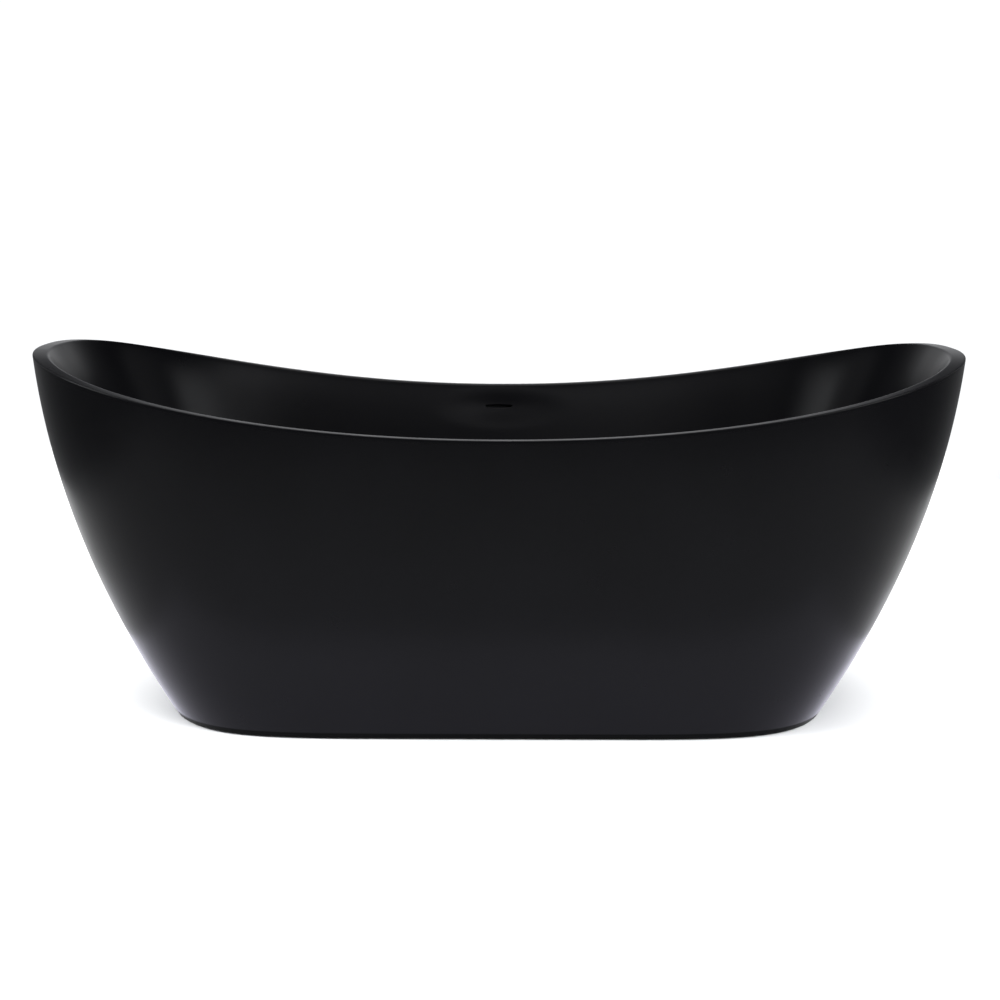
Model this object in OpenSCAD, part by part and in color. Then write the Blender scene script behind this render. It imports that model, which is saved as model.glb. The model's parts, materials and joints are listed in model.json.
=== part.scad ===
// Freestanding double-ended bathtub, millimetres.
// X runs along the tub, Y across it with the overflow at the +Y side, Z up from the floor.

/* [Tub] */
// Overall length between the two raised ends
tub_length = 1700; // [1500:10:1800]
// Overall width across the middle of the rim
tub_width = 800; // [740:5:820]
// Height of the rim at the two ends
end_height = 675; // [640:5:720]
// How far the rim sinks from the ends to the middle
rim_dip = 119; // [80:1:130]
// Length of the footprint on the floor
base_length = 1242; // [1180:2:1300]
// Width of the footprint on the floor
base_width = 570; // [550:2:600]

/* [Rim and skins] */
// Width of the flat rim at the middle of the long sides
rim_side = 20; // [20:1:26]
// Width of the flat rim at the ends
rim_end = 28; // [24:1:34]
// Thickness of the inner basin sheet
basin_skin = 6; // [5:0.5:7]
// Thickness of the outer shell sheet
shell_skin = 5; // [4:0.5:5]
// Height of the basin floor next to the drain
floor_height = 150; // [148:1:154]

/* [Waste and overflow] */
// Length of the overflow slot
slot_length = 56; // [40:1:60]
// Height of the overflow slot
slot_height = 6; // [5:0.5:8]
// Distance from the rim down to the middle of the slot
slot_drop = 45; // [42:1:48]
// Radius of the tube that leads to the house drain
tailpiece_r = 19.05; // [18:0.05:20]
// How far the pop-up cap can rise
popup_travel = 9; // [7:0.5:10]

/* [Frame and feet] */
// Outside size of the square steel tube
tube_size = 30; // [28:1:30]
// Distance between the feet along the tub
foot_span_x = 830; // [800:10:840]
// Distance between the feet across the tub
foot_span_y = 330; // [320:5:340]
// Radius of the threaded studs
stud_r = 5; // [4:0.5:5]

/* [Hidden] */

eps = 0.1;
round_fn = 48;
glue_gap = 0.2;
thread_gap = 0.06;

// ---- Outer surface: two superellipses blended from the floor up to the rim ----
half_l = tub_length / 2;
rim_curve = 2.06;
plan_x_base = 6.5;
plan_x_rim = 4.1;
plan_y_base = 2.2;
plan_y_rim = 2.4;
length_straightness = 0.22;
width_straightness = 0.69;
columns = 80;
step = 360 / columns;

function mix(a, b, t) = a + (b - a) * t;
function ease(t) = t * t * (3 - 2 * t);
function clamp01(t) = max(0, min(1, t));
function unit(v) = v / norm(v);
// Share of the taper reached at height z, 0 at the end height and 1 at the floor
function taper(z, straight) =
    let (v = (end_height - z) / end_height)
    straight * v + (1 - straight) * v * v;
mid_rim = end_height - rim_dip;
half_w_top = base_width / 2
    + (tub_width - base_width) / 2 / (1 - taper(mid_rim, width_straightness));
function half_length(z) = mix(half_l, base_length / 2, taper(z, length_straightness));
function half_width(z) = mix(half_w_top, base_width / 2, taper(z, width_straightness));
function power_x(z) = mix(plan_x_base, plan_x_rim, z / end_height);
function power_y(z) = mix(plan_y_base, plan_y_rim, z / end_height);
// Point of the outer plan at height z in the direction phi
function outer_xy(phi, z) =
    let (
        c = cos(phi),
        s = sin(phi),
        w = pow(abs(c), power_x(z)) + pow(abs(s), power_y(z))
    )
    [half_length(z) * c / pow(w, 1 / power_x(z)), half_width(z) * s / pow(w, 1 / power_y(z))];
// Outward normal of the outer plan there
function outer_normal(phi, z) =
    let (
        v = outer_xy(phi, z),
        a = half_length(z),
        b = half_width(z),
        p = power_x(z),
        q = power_y(z)
    )
    unit([
        p * sign(v[0]) * pow(abs(v[0]) / a, p - 1) / a,
        q * sign(v[1]) * pow(abs(v[1]) / b, q - 1) / b
    ]);
// Half width of the outer surface at a place x along the tub
function outer_y(x, z) =
    half_width(z) * pow(1 - pow(abs(x) / half_length(z), power_x(z)), 1 / power_y(z));
function rim_line(x) = end_height - rim_dip * (1 - pow(min(1, abs(x) / half_l), rim_curve));
// Height of the rim in the direction phi, found by repeated averaging
function rim_z(phi, z = end_height, passes = 24) =
    passes == 0 ? z : rim_z(phi, (z + rim_line(outer_xy(phi, z)[0])) / 2, passes - 1);
rims = [for (k = [0 : columns - 1]) rim_z(k * step)];

// Point set inward from the outer surface by inset, in the direction phi
function inset_point(phi, z, inset) =
    let (v = outer_xy(phi, z) - inset * outer_normal(phi, z))
    [v[0], v[1], z];

// Faces of a closed skin whose rings follow each other and whose last ring meets the first
function ring_faces(rows) = [
    for (j = [0 : rows - 1]) for (k = [0 : columns - 1])
        let (
            j2 = (j + 1) % rows,
            k2 = (k + 1) % columns,
            a = j * columns + k,
            b = j * columns + k2,
            c = j2 * columns + k2,
            d = j2 * columns + k
        )
        each [[a, c, b], [a, d, c]]
];
module ring_skin(rings) {
    polyhedron(points = [for (r = rings) each r], faces = ring_faces(len(rings)), convexity = 8);
}

// ---- Inner surface ----
wall_foot = floor_height + 152;
floor_edge = floor_height + 8;
lip = 8;
lip_depth = 30;
side_taper = 0.16;
end_taper = 0.28;
floor_keep = [0.8, 0.6];
dish_radius = [155, 48];
dish_depth = 6;
slot_z = mid_rim - slot_drop;

function end_share(phi, z) = pow(outer_normal(phi, z)[0], 2);
function rim_width(phi, z) = mix(rim_side, rim_end, end_share(phi, z));
// Distance between the two skins' outer faces, drop being the depth below the rim
function wall_inset(phi, z, drop) =
    rim_width(phi, z) + lip * (1 - exp(-drop / lip_depth))
    + mix(side_taper, end_taper, end_share(phi, z)) * drop;
// The shallow dish pressed around the overflow slot, in the +Y wall only
function dish(x, z) =
    dish_depth * (1 - ease(clamp01(norm([x / dish_radius[0], (z - slot_z) / dish_radius[1]]))));
function wall_point(phi, top, z) =
    let (v = inset_point(phi, z, wall_inset(phi, z, top - z)))
    [v[0], v[1] + (v[1] > 0 ? dish(v[0], z) : 0), z];
// Corner where the wall's straight extension meets the floor
function corner_point(phi, top) =
    let (
        rise = wall_foot - floor_edge,
        low = wall_point(phi, top, wall_foot),
        high = wall_point(phi, top, wall_foot + 10),
        slope = (high - low) / 10
    )
    [low[0] - slope[0] * rise, low[1] - slope[1] * rise, floor_edge];
function floor_point(phi, top) =
    let (c = corner_point(phi, top))
    [c[0] * floor_keep[0], c[1] * floor_keep[1], floor_edge];
// Quadratic curve from the floor, t = 0, up to the wall, t = 1
function bend_point(phi, top, t) =
    let (
        f = floor_point(phi, top),
        c = corner_point(phi, top),
        w = wall_point(phi, top, wall_foot)
    )
    (1 - t) * (1 - t) * f + 2 * t * (1 - t) * c + t * t * w;
floor_extra = 12;
seat_r = 40;
seat_step = 2;
seat_z = floor_height - 4;
drain_hole_r = 24.5;
back_z = floor_height - 10;
function circle_ring(r, z) = [for (k = [0 : columns - 1]) [r * cos(k * step), r * sin(k * step), z]];
// Floor between the drain seat, t = 0, and its edge, t = 1
function floor_ring(t) = [
    for (k = [0 : columns - 1])
        let (
            phi = k * step,
            f = floor_point(phi, rims[k]),
            s = [seat_r * cos(phi), seat_r * sin(phi), floor_height],
            v = s + (f - s) * t
        )
        [v[0], v[1], floor_height + (floor_edge - floor_height) * sin(90 * t)]
];
function wall_ring(t) = [
    for (k = [0 : columns - 1]) wall_point(k * step, rims[k], mix(rims[k], wall_foot, t))
];
function bend_ring(t) = [for (k = [0 : columns - 1]) bend_point(k * step, rims[k], t)];
function rim_ring(inset, down) = [
    for (k = [0 : columns - 1]) inset_point(k * step, rims[k] - down, inset)
];
function rim_edge_ring(less, down) = [
    for (k = [0 : columns - 1])
        inset_point(k * step, rims[k] - down, rim_width(k * step, rims[k]) - less)
];
// Ring set outward from the middle one of three rings, square to the surface
function back_ring(above, here, below, thickness) = [
    for (k = [0 : columns - 1])
        let (
            along = here[(k + 1) % columns] - here[(k + columns - 1) % columns],
            down = below[k] - above[k]
        )
        here[k] + thickness * unit(cross(down, along))
];
wall_steps = [0.04, 0.09, 0.16, 0.25, 0.36, 0.5, 0.72, 1];
bend_steps = [0.85, 0.7, 0.55, 0.4, 0.25, 0.1];

module basin() {
    front_wall = [for (t = wall_steps) wall_ring(t)];
    front_bend = [for (t = bend_steps) bend_ring(t)];
    front = concat([rim_edge_ring(0, 0)], front_wall, front_bend, [floor_ring(1)]);
    last = len(front) - 1;
    // Thickness grows from the sheet's own to the floor's over the bend
    function thickness(j) =
        let (t = j <= len(wall_steps) ? 1 : bend_steps[j - len(wall_steps) - 1])
        basin_skin + floor_extra * pow(1 - t, 3);
    back = [for (j = [2 : last - 1]) back_ring(front[j - 1], front[j], front[j + 1], thickness(j))];
    flat_edge = [for (v = floor_ring(1)) [v[0], v[1], back_z]];
    rings = concat(
        [rim_edge_ring(basin_skin, basin_skin), rim_ring(0, basin_skin), rim_ring(0, 0)],
        front,
        [for (t = [0.66, 0.33, 0]) floor_ring(t)],
        [circle_ring(seat_r - seat_step, seat_z), circle_ring(drain_hole_r, seat_z)],
        [circle_ring(drain_hole_r, back_z), flat_edge],
        [for (j = [len(back) - 1 : -1 : 0]) back[j]]
    );
    color([0.13, 0.13, 0.14])
        difference() {
            ring_skin(rings);
            overflow_slot();
        }
}

module overflow_slot() {
    reach = 60;
    y0 = outer_y(0, slot_z) - reach;
    half = (slot_length - slot_height) / 2;
    translate([-half, y0, slot_z - slot_height / 2])
        cube([2 * half, reach, slot_height]);
    for (side = [-1, 1])
        translate([side * half, y0, slot_z])
            rotate([-90, 0, 0])
                cylinder(h = reach, r = slot_height / 2, $fn = 12);
}

// ---- Outer shell and its bond to the basin ----
skirt_clear = 2;
skirt_lip = 16;
shell_top = basin_skin + glue_gap;
shell_steps = [0, 0.06, 0.14, 0.24, 0.35, 0.47, 0.59, 0.7, 0.8, 0.9, 1];

function shell_ring(t, inset, low) = [
    for (k = [0 : columns - 1]) inset_point(k * step, mix(low, rims[k] - shell_top, t), inset)
];

module outer_shell() {
    outside = [for (t = shell_steps) shell_ring(t, 0, skirt_clear)];
    lip_top = skirt_clear + shell_skin;
    inside = [for (j = [len(shell_steps) - 1 : -1 : 0]) shell_ring(shell_steps[j], shell_skin, lip_top)];
    lip_rings = [shell_ring(0, skirt_lip, lip_top), shell_ring(0, skirt_lip, skirt_clear)];
    color([0.12, 0.12, 0.13])
        ring_skin(concat(inside, lip_rings, outside));
}

bond_width = 7;
bond_height = 12;
bond_gap = 0.6;

module rim_bond() {
    near = shell_skin + bond_gap;
    far = near + bond_width;
    color([0.82, 0.8, 0.72])
        ring_skin([
            rim_ring(near, shell_top), rim_ring(far, shell_top),
            rim_ring(near + 3, shell_top + bond_height), rim_ring(near, shell_top + bond_height)
        ]);
}

// ---- Board and steel frame under the basin ----
board_thickness = 18;
board_half_length = 400;
board_r = 125;
board_hole_r = 62;
frame_top = back_z - board_thickness;
frame_low = frame_top - tube_size;
tube_wall = 2;
rail_y = 100;
cross_x = foot_span_x / 2;
rail_end = cross_x - tube_size / 2;
cross_half = 190;
stud_clear = 0.5;
foot_y = foot_span_y / 2;
feet = [[-cross_x, -foot_y], [cross_x, -foot_y], [-cross_x, foot_y], [cross_x, foot_y]];
board_screw_xs = [-340, -120, 120, 340];
board_screws_at = [for (x = board_screw_xs) for (y = [-rail_y, rail_y]) [x, y]];
screw_r = 2;
screw_clear = 0.3;
board_pilot = 14;
board_screw_length = tube_size + 12;
tube_screw_y = 135;

module base_board() {
    half_straight = board_half_length - board_r;
    color([0.72, 0.58, 0.4])
        difference() {
            union() {
                translate([-half_straight, -board_r, frame_top])
                    cube([2 * half_straight, 2 * board_r, board_thickness]);
                for (side = [-1, 1])
                    translate([side * half_straight, 0, frame_top])
                        cylinder(h = board_thickness, r = board_r, $fn = 96);
            }
            translate([0, 0, frame_top - eps])
                cylinder(h = board_thickness + 2 * eps, r = board_hole_r, $fn = 96);
            for (v = board_screws_at)
                translate([v[0], v[1], frame_top - eps])
                    cylinder(h = board_pilot, r = screw_r + thread_gap, $fn = 24);
        }
}

module square_tube(length) {
    hollow = tube_size - 2 * tube_wall;
    difference() {
        translate([-length / 2, -tube_size / 2, 0])
            cube([length, tube_size, tube_size]);
        translate([-length / 2 - eps, -hollow / 2, tube_wall])
            cube([length + 2 * eps, hollow, hollow]);
    }
}

module rail(y) {
    color([0.55, 0.57, 0.6])
        difference() {
            translate([0, y, frame_low])
                square_tube(2 * rail_end);
            for (x = board_screw_xs)
                translate([x, y, frame_low - eps])
                    cylinder(h = tube_size + 2 * eps, r = screw_r + screw_clear, $fn = 24);
        }
}
module rail_front() { rail(-rail_y); }
module rail_rear() { rail(rail_y); }

module cross_member(side) {
    color([0.52, 0.54, 0.57])
        difference() {
            translate([side * cross_x, 0, frame_low])
                rotate([0, 0, 90])
                    square_tube(2 * cross_half);
            for (end = [-1, 1]) {
                translate([side * cross_x, end * foot_y, frame_low - eps])
                    cylinder(h = tube_wall + 2 * eps, r = stud_r + stud_clear, $fn = 32);
                translate([side * cross_x, end * tube_screw_y, frame_top - tube_wall - eps])
                    cylinder(h = tube_wall + 2 * eps, r = screw_r + thread_gap, $fn = 24);
            }
        }
}
module cross_member_left() { cross_member(-1); }
module cross_member_right() { cross_member(1); }

module screw(length, up = true) {
    head_r = 4;
    head_h = 2.5;
    key_r = 1.8;
    key_depth = 1.4;
    mirror([0, 0, up ? 0 : 1]) {
        translate([0, 0, -head_h])
            difference() {
                cylinder(h = head_h, r = head_r, $fn = 32);
                translate([0, 0, -eps])
                    cylinder(h = key_depth + eps, r = key_r, $fn = 6);
            }
        cylinder(h = length, r = screw_r, $fn = 24);
    }
}

module board_screws() {
    color([0.75, 0.75, 0.72])
        for (v = board_screws_at)
            translate([v[0], v[1], frame_low])
                screw(board_screw_length);
}

// ---- Feet: a stud in a welded nut, a lock nut, and a swivelling pad ----
stud_low = 10;
stud_top = 107;
nut_h = 8;
nut_flats_r = 9.8;
pad_r = 25;
pad_plate = 8;
socket_r = 11;
socket_top = 19;
stud_foot_r = 8;
stud_foot_h = 6;
collar_low = 20;
collar_h = 7;

module hex_nut(z) {
    translate([0, 0, z])
        difference() {
            cylinder(h = nut_h, r = nut_flats_r, $fn = 6);
            translate([0, 0, -eps])
                cylinder(h = nut_h + 2 * eps, r = stud_r + thread_gap, $fn = 32);
        }
}

module weld_nuts() {
    color([0.6, 0.6, 0.62])
        for (v = feet)
            translate([v[0], v[1], 0])
                hex_nut(frame_low - nut_h);
}

module foot_lock_nuts() {
    color([0.7, 0.7, 0.68])
        for (v = feet)
            translate([v[0], v[1], 0])
                hex_nut(frame_low - 2 * nut_h - glue_gap);
}

module foot_stud(i) {
    color([0.74, 0.74, 0.72])
        translate([feet[i][0], feet[i][1], 0]) {
            translate([0, 0, stud_low])
                cylinder(h = stud_top - stud_low, r = stud_r, $fn = 32);
            translate([0, 0, stud_low])
                cylinder(h = stud_foot_h, r = stud_foot_r, $fn = 32);
            translate([0, 0, collar_low])
                cylinder(h = collar_h, r = nut_flats_r, $fn = 6);
        }
}
module foot_stud_1() { foot_stud(0); }
module foot_stud_2() { foot_stud(1); }
module foot_stud_3() { foot_stud(2); }
module foot_stud_4() { foot_stud(3); }

// A plate with a socket that wraps the stud's foot, so the stud can turn in it
module foot_pad(i) {
    play = 0.3;
    edge = 1.5;
    shoulder_z = stud_low + stud_foot_h + play;
    color([0.1, 0.1, 0.1])
        translate([feet[i][0], feet[i][1], 0])
            rotate_extrude($fn = 64)
                polygon([
                    [0, 0], [pad_r - edge, 0], [pad_r, edge], [pad_r, pad_plate - 2],
                    [pad_r - 2 * edge, pad_plate], [socket_r + edge, pad_plate],
                    [socket_r, pad_plate + edge], [socket_r, socket_top],
                    [stud_r + play, socket_top], [stud_r + play, shoulder_z],
                    [stud_foot_r + play, shoulder_z], [stud_foot_r + play, stud_low - play],
                    [0, stud_low - play]
                ]);
}
module foot_pad_1() { foot_pad(0); }
module foot_pad_2() { foot_pad(1); }
module foot_pad_3() { foot_pad(2); }
module foot_pad_4() { foot_pad(3); }

// ---- Blocks and brackets that tie the outer shell to the frame ----
block_height = 26;
block_length = 60;
block_depth = 26;
bracket_thickness = 3;
bracket_width = 26;
bracket_start = 118;
bracket_overrun = 9;
block_gap = 0.6;
function shell_inner_y(x, z) = outer_y(x, z) - shell_skin * 1.06;

bracket_screw_length = 10;
block_screw_length = 16;
module skirt_block(side_x, side_y) {
    z_low = frame_top - block_height;
    xs = [cross_x - block_length / 2, cross_x + block_length / 2];
    function out_y(x, z) = shell_inner_y(x, z) - block_gap;
    inner = out_y(xs[1], z_low) - block_depth;
    pts = [
        for (z = [z_low, frame_top]) each [
            [xs[0], inner, z], [xs[1], inner, z], [xs[1], out_y(xs[1], z), z], [xs[0], out_y(xs[0], z), z]
        ]
    ];
    mirror([side_x < 0 ? 1 : 0, 0, 0])
        mirror([0, side_y < 0 ? 1 : 0, 0])
            difference() {
                polyhedron(
                    points = pts,
                    faces = [
                        [0, 1, 2, 3], [7, 6, 5, 4], [0, 4, 5, 1], [1, 5, 6, 2],
                        [2, 6, 7], [2, 7, 3], [3, 7, 4, 0]
                    ]
                );
                translate([cross_x, block_screw_y, frame_top - block_screw_length])
                    cylinder(h = block_screw_length + eps, r = screw_r + thread_gap, $fn = 24);
            }
}
block_screw_y = shell_inner_y(cross_x, frame_low) - block_depth / 2;

module skirt_blocks() {
    color([0.7, 0.56, 0.38])
        for (side_x = [-1, 1]) for (side_y = [-1, 1])
            skirt_block(side_x, side_y);
}

module skirt_brackets() {
    reach = block_screw_y + bracket_overrun - bracket_start;
    color([0.58, 0.6, 0.62])
        for (side_x = [-1, 1]) for (side_y = [-1, 1])
            difference() {
                translate([
                    side_x * cross_x - bracket_width / 2,
                    side_y > 0 ? bracket_start : -bracket_start - reach,
                    frame_top
                ])
                    cube([bracket_width, reach, bracket_thickness]);
                for (y = [tube_screw_y, block_screw_y])
                    translate([side_x * cross_x, side_y * y, frame_top - eps])
                        cylinder(h = bracket_thickness + 2 * eps, r = screw_r + screw_clear, $fn = 24);
            }
}

module bracket_screws() {
    color([0.75, 0.75, 0.72])
        for (side_x = [-1, 1]) for (side_y = [-1, 1]) {
            translate([side_x * cross_x, side_y * tube_screw_y, frame_top + bracket_thickness])
                screw(bracket_screw_length, up = false);
            translate([side_x * cross_x, side_y * block_screw_y, frame_top + bracket_thickness])
                screw(block_screw_length, up = false);
        }
}

// ---- Waste: flange, pop-up plug and tee ----
flange_r = 36;
flange_top = floor_height + 1;
flange_plate = 3;
flange_low = flange_top - flange_plate;
tail_r = 22.5;
tail_bore_r = 20;
tail_low = 95;
hub_low = 122;
hub_h = 8;
hub_r = 9;
cartridge_r = 6.5;
cartridge_low = 112;
shoulder_r = 8.5;
shoulder_h = 3;
guide_r = 4.8;
guide_h = 6;
stem_r = 3;
stem_low = cartridge_low - popup_travel - 1;
cap_low = flange_top + 2.3;
cap_thickness = 4;
cap_r = 31;

module ring(z, h, r_out, r_in, fn = round_fn) {
    translate([0, 0, z])
        difference() {
            cylinder(h = h, r = r_out, $fn = fn);
            translate([0, 0, -eps])
                cylinder(h = h + 2 * eps, r = r_in, $fn = fn);
        }
}

module drain_flange() {
    edge = 0.8;
    spoke = 3;
    color([0.1, 0.1, 0.11]) {
        rotate_extrude($fn = 64)
            polygon([
                [tail_bore_r, tail_low], [tail_r, tail_low], [tail_r, flange_low], [flange_r, flange_low],
                [flange_r, flange_top - edge], [flange_r - edge, flange_top], [tail_bore_r + 1.5, flange_top],
                [tail_bore_r, flange_top - 1.5]
            ]);
        difference() {
            union() {
                translate([0, 0, hub_low])
                    cylinder(h = hub_h, r = hub_r, $fn = round_fn);
                for (turn = [0, 120, 240])
                    rotate([0, 0, turn])
                        translate([0, -spoke / 2, hub_low])
                            cube([tail_bore_r + 0.5, spoke, hub_h]);
            }
            translate([0, 0, hub_low - eps])
                cylinder(h = hub_h + 2 * eps, r = cartridge_r + thread_gap, $fn = round_fn);
        }
    }
}

module drain_gasket() {
    color([0.2, 0.2, 0.2])
        ring(seat_z, flange_low - seat_z, flange_r, drain_hole_r + 0.5);
}

drain_washer_h = 4;

module drain_washer() {
    color([0.16, 0.16, 0.16])
        ring(back_z - drain_washer_h, drain_washer_h, flange_r, tail_r + 0.3);
}

module drain_lock_nut() {
    collar = 3;
    body = 8;
    body_r = 31;
    low = back_z - drain_washer_h - collar - body;
    lug = 4;
    color([0.8, 0.8, 0.78])
        difference() {
            union() {
                ring(low + body, collar, body_r + 3, tail_r + thread_gap);
                ring(low, body, body_r, tail_r + thread_gap, fn = 64);
                for (turn = [0 : 60 : 300])
                    rotate([0, 0, turn])
                        translate([body_r - lug / 2, -lug, low])
                            cube([lug, 2 * lug, body]);
            }
            translate([0, 0, low - eps])
                cylinder(h = body + collar + 2 * eps, r = tail_r + thread_gap, $fn = 64);
        }
}

module popup_cartridge() {
    top = hub_low + hub_h;
    color([0.78, 0.68, 0.4])
        rotate_extrude($fn = round_fn)
            polygon([
                [stem_r + thread_gap, cartridge_low], [cartridge_r, cartridge_low], [cartridge_r, top],
                [shoulder_r, top], [shoulder_r, top + shoulder_h], [guide_r, top + shoulder_h],
                [guide_r, top + shoulder_h + guide_h], [stem_r + thread_gap, top + shoulder_h + guide_h]
            ]);
}

module popup_stem() {
    head_r = 4.5;
    head_h = 2;
    color([0.8, 0.72, 0.45]) {
        translate([0, 0, stem_low])
            cylinder(h = cap_low - stem_low, r = stem_r, $fn = 32);
        translate([0, 0, stem_low - head_h])
            cylinder(h = head_h, r = head_r, $fn = 32);
    }
}

cap_hub_r = 9;
cap_hub_h = 4;
spring_low = hub_low + hub_h + shoulder_h + glue_gap;
spring_top = cap_low - cap_hub_h - 0.5;

module popup_spring() {
    wire_r = 0.6;
    coil_r = 6.2;
    turns = 5;
    per_turn = 12;
    sides = 6;
    rings_n = turns * per_turn + 1;
    rise = spring_top - spring_low - 2 * wire_r;
    pts = [
        for (i = [0 : rings_n - 1]) for (s = [0 : sides - 1])
            let (
                turn = 360 * i / per_turn,
                r = coil_r + wire_r * cos(360 * s / sides)
            )
            [
                r * cos(turn), r * sin(turn),
                spring_low + wire_r + rise * i / (rings_n - 1) + wire_r * sin(360 * s / sides)
            ]
    ];
    skin = [
        for (i = [0 : rings_n - 2]) for (s = [0 : sides - 1])
            let (
                s2 = (s + 1) % sides,
                a = i * sides + s,
                b = i * sides + s2,
                c = (i + 1) * sides + s2,
                d = (i + 1) * sides + s
            )
            each [[a, b, c], [a, c, d]]
    ];
    start_cap = [[for (s = [sides - 1 : -1 : 0]) s]];
    end_cap = [[for (s = [0 : sides - 1]) (rings_n - 1) * sides + s]];
    color([0.8, 0.8, 0.8])
        polyhedron(points = pts, faces = concat(skin, start_cap, end_cap), convexity = 6);
}

module popup_cap() {
    dome = 1.2;
    color([0.1, 0.1, 0.11])
        rotate_extrude($fn = 96)
            polygon([
                [stem_r + thread_gap, cap_low - cap_hub_h], [cap_hub_r, cap_low - cap_hub_h],
                [cap_hub_r, cap_low], [cap_r, cap_low],
                [cap_r, cap_low + cap_thickness - 1], [cap_r - 1, cap_low + cap_thickness],
                [cap_r / 2, cap_low + cap_thickness + dome * 0.75], [0, cap_low + cap_thickness + dome],
                [0, cap_low + glue_gap], [stem_r + thread_gap, cap_low + glue_gap]
            ]);
}

module popup_seal() {
    lift = 0.3;
    color([0.18, 0.18, 0.18])
        ring(flange_top + lift, cap_low - flange_top - lift, cap_r - 2, cap_r - 8);
}

port_z = 74;
tee_top = 122;
tee_low = 53;
tee_r = 27;
neck_r = 24;
neck_bore_r = 20.5;
barb_r = 10.9;
barb_bore_r = 8.5;
barb_end = 66;

module waste_tee() {
    body_low = tail_low - 7;
    slip_depth = 10;
    port_start = 12;
    port_root = neck_r - 2;
    stub_length = 10;
    tube_r = neck_bore_r - 1.3;
    color([0.15, 0.15, 0.16])
        difference() {
            union() {
                rotate_extrude($fn = round_fn)
                    polygon([
                        [neck_bore_r, tee_low], [neck_r, tee_low], [neck_r, body_low], [tee_r, body_low],
                        [tee_r, tee_top], [tail_r + thread_gap, tee_top],
                        [tail_r + thread_gap, tail_low - glue_gap], [tube_r, tail_low - glue_gap],
                        [tube_r, tee_low + slip_depth], [neck_bore_r, tee_low + slip_depth]
                    ]);
                translate([0, port_root, port_z])
                    rotate([-90, 0, 0])
                        cylinder(h = barb_end - port_root, r = barb_r, $fn = round_fn);
                translate([0, port_root, port_z])
                    rotate([-90, 0, 0])
                        cylinder(h = stub_length, r = hose_r, $fn = round_fn);
            }
            translate([0, port_start, port_z])
                rotate([-90, 0, 0])
                    cylinder(h = barb_end, r = barb_bore_r, $fn = round_fn);
        }
}

tailpiece_low = 6;
tailpiece_wall = 2;
tailpiece_top = tee_low + 9;
washer_h = 4;
slip_nut_low = tee_low - 9;
slip_nut_h = 15;
slip_nut_r = 28;

// The tube is a little slimmer above a shoulder, where the slip nut and its washer hold it
module waste_tailpiece() {
    shoulder_z = slip_nut_low - 1;
    seat = 0.2;
    color([0.15, 0.15, 0.16])
        rotate_extrude($fn = 64)
            polygon([
                [tailpiece_r - tailpiece_wall, tailpiece_low], [tailpiece_r, tailpiece_low],
                [tailpiece_r, shoulder_z], [tailpiece_r - seat, shoulder_z + seat],
                [tailpiece_r - seat, tailpiece_top], [tailpiece_r - tailpiece_wall, tailpiece_top]
            ]);
}

module tailpiece_washer() {
    color([0.2, 0.2, 0.2])
        ring(tee_low - washer_h, washer_h, neck_r - 0.5, tailpiece_r, fn = 64);
}

module tailpiece_nut() {
    grip_depth = 3.5;
    grip_width = 4;
    color([0.14, 0.14, 0.15])
        difference() {
            union() {
                translate([0, 0, slip_nut_low])
                    cylinder(h = slip_nut_h, r = slip_nut_r, $fn = round_fn);
                for (turn = [0 : 45 : 315])
                    rotate([0, 0, turn])
                        translate([slip_nut_r - 1, -grip_width / 2, slip_nut_low])
                            cube([grip_depth, grip_width, slip_nut_h - 2]);
            }
            translate([0, 0, slip_nut_low - eps])
                cylinder(h = 2 * slip_nut_h, r = tailpiece_r + 0.4, $fn = 64);
            translate([0, 0, tee_low - washer_h - eps])
                cylinder(h = 2 * slip_nut_h, r = neck_r + thread_gap, $fn = 64);
        }
}

// ---- Overflow: a flat box behind the slot, and a hose down to the tee ----
function basin_y(z) = wall_point(90, mid_rim, z)[1];
box_high_z = slot_z + 12;
box_low_z = slot_z - 50;
box_tilt = atan((basin_y(box_high_z) - basin_y(box_low_z)) / (box_high_z - box_low_z));
box_width = 92;
box_wall = 1.5;
box_clear = 1.5;
gasket_t = 2;
gasket_half = 11;
gasket_length = box_width - 8;
// Back of the basin behind the slot, with room for it to bulge
seal_y = basin_y(slot_z) + (basin_skin + 0.6) / cos(box_tilt);
function box_front_y(z) = seal_y + gasket_t / cos(box_tilt) + (z - slot_z) * tan(box_tilt);
function box_rear_y(z) = shell_inner_y(0, z) - box_clear;

// Frame at the slot's back: its own +Y is square to the sloping wall
module at_slot() {
    translate([0, seal_y, slot_z])
        rotate([-box_tilt, 0, 0])
            children();
}

// Window behind the slot, through the gasket and the front of the box
module slot_window() {
    margin = 2;
    translate([-slot_length / 2 - margin, -1, -slot_height])
        cube([slot_length + 2 * margin, gasket_t + 4, 2 * slot_height]);
}

// Wedge between the two skins, made smaller on every side by inset
module box_block(inset) {
    low = box_low_z + inset;
    high = box_high_z - inset;
    translate([-box_width / 2 + inset, 0, 0])
        rotate([90, 0, 90])
            linear_extrude(height = box_width - 2 * inset)
                polygon([
                    [box_front_y(low) + inset, low], [box_rear_y(low) - inset, low],
                    [box_rear_y(high) - inset, high], [box_front_y(high) + inset, high]
                ]);
}

hose_top_tilt = 12.5;
hose_r = 14;
hose_bore_r = 11.2;
hose_top_z = 445;
hose_top = [(basin_y(hose_top_z) + basin_skin + shell_inner_y(0, hose_top_z)) / 2, hose_top_z];
hose_bend_r = 80;
hose_slope = tan(hose_top_tilt);
bend_z = port_z + hose_bend_r;
arc_end_z = bend_z - hose_bend_r * sin(hose_top_tilt);
bend_y = hose_top[0] - hose_slope * (hose_top[1] - arc_end_z) - hose_bend_r * cos(hose_top_tilt);
spigot_length = 42;
spigot_high = 20;
hose_start_y = 34;

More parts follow.
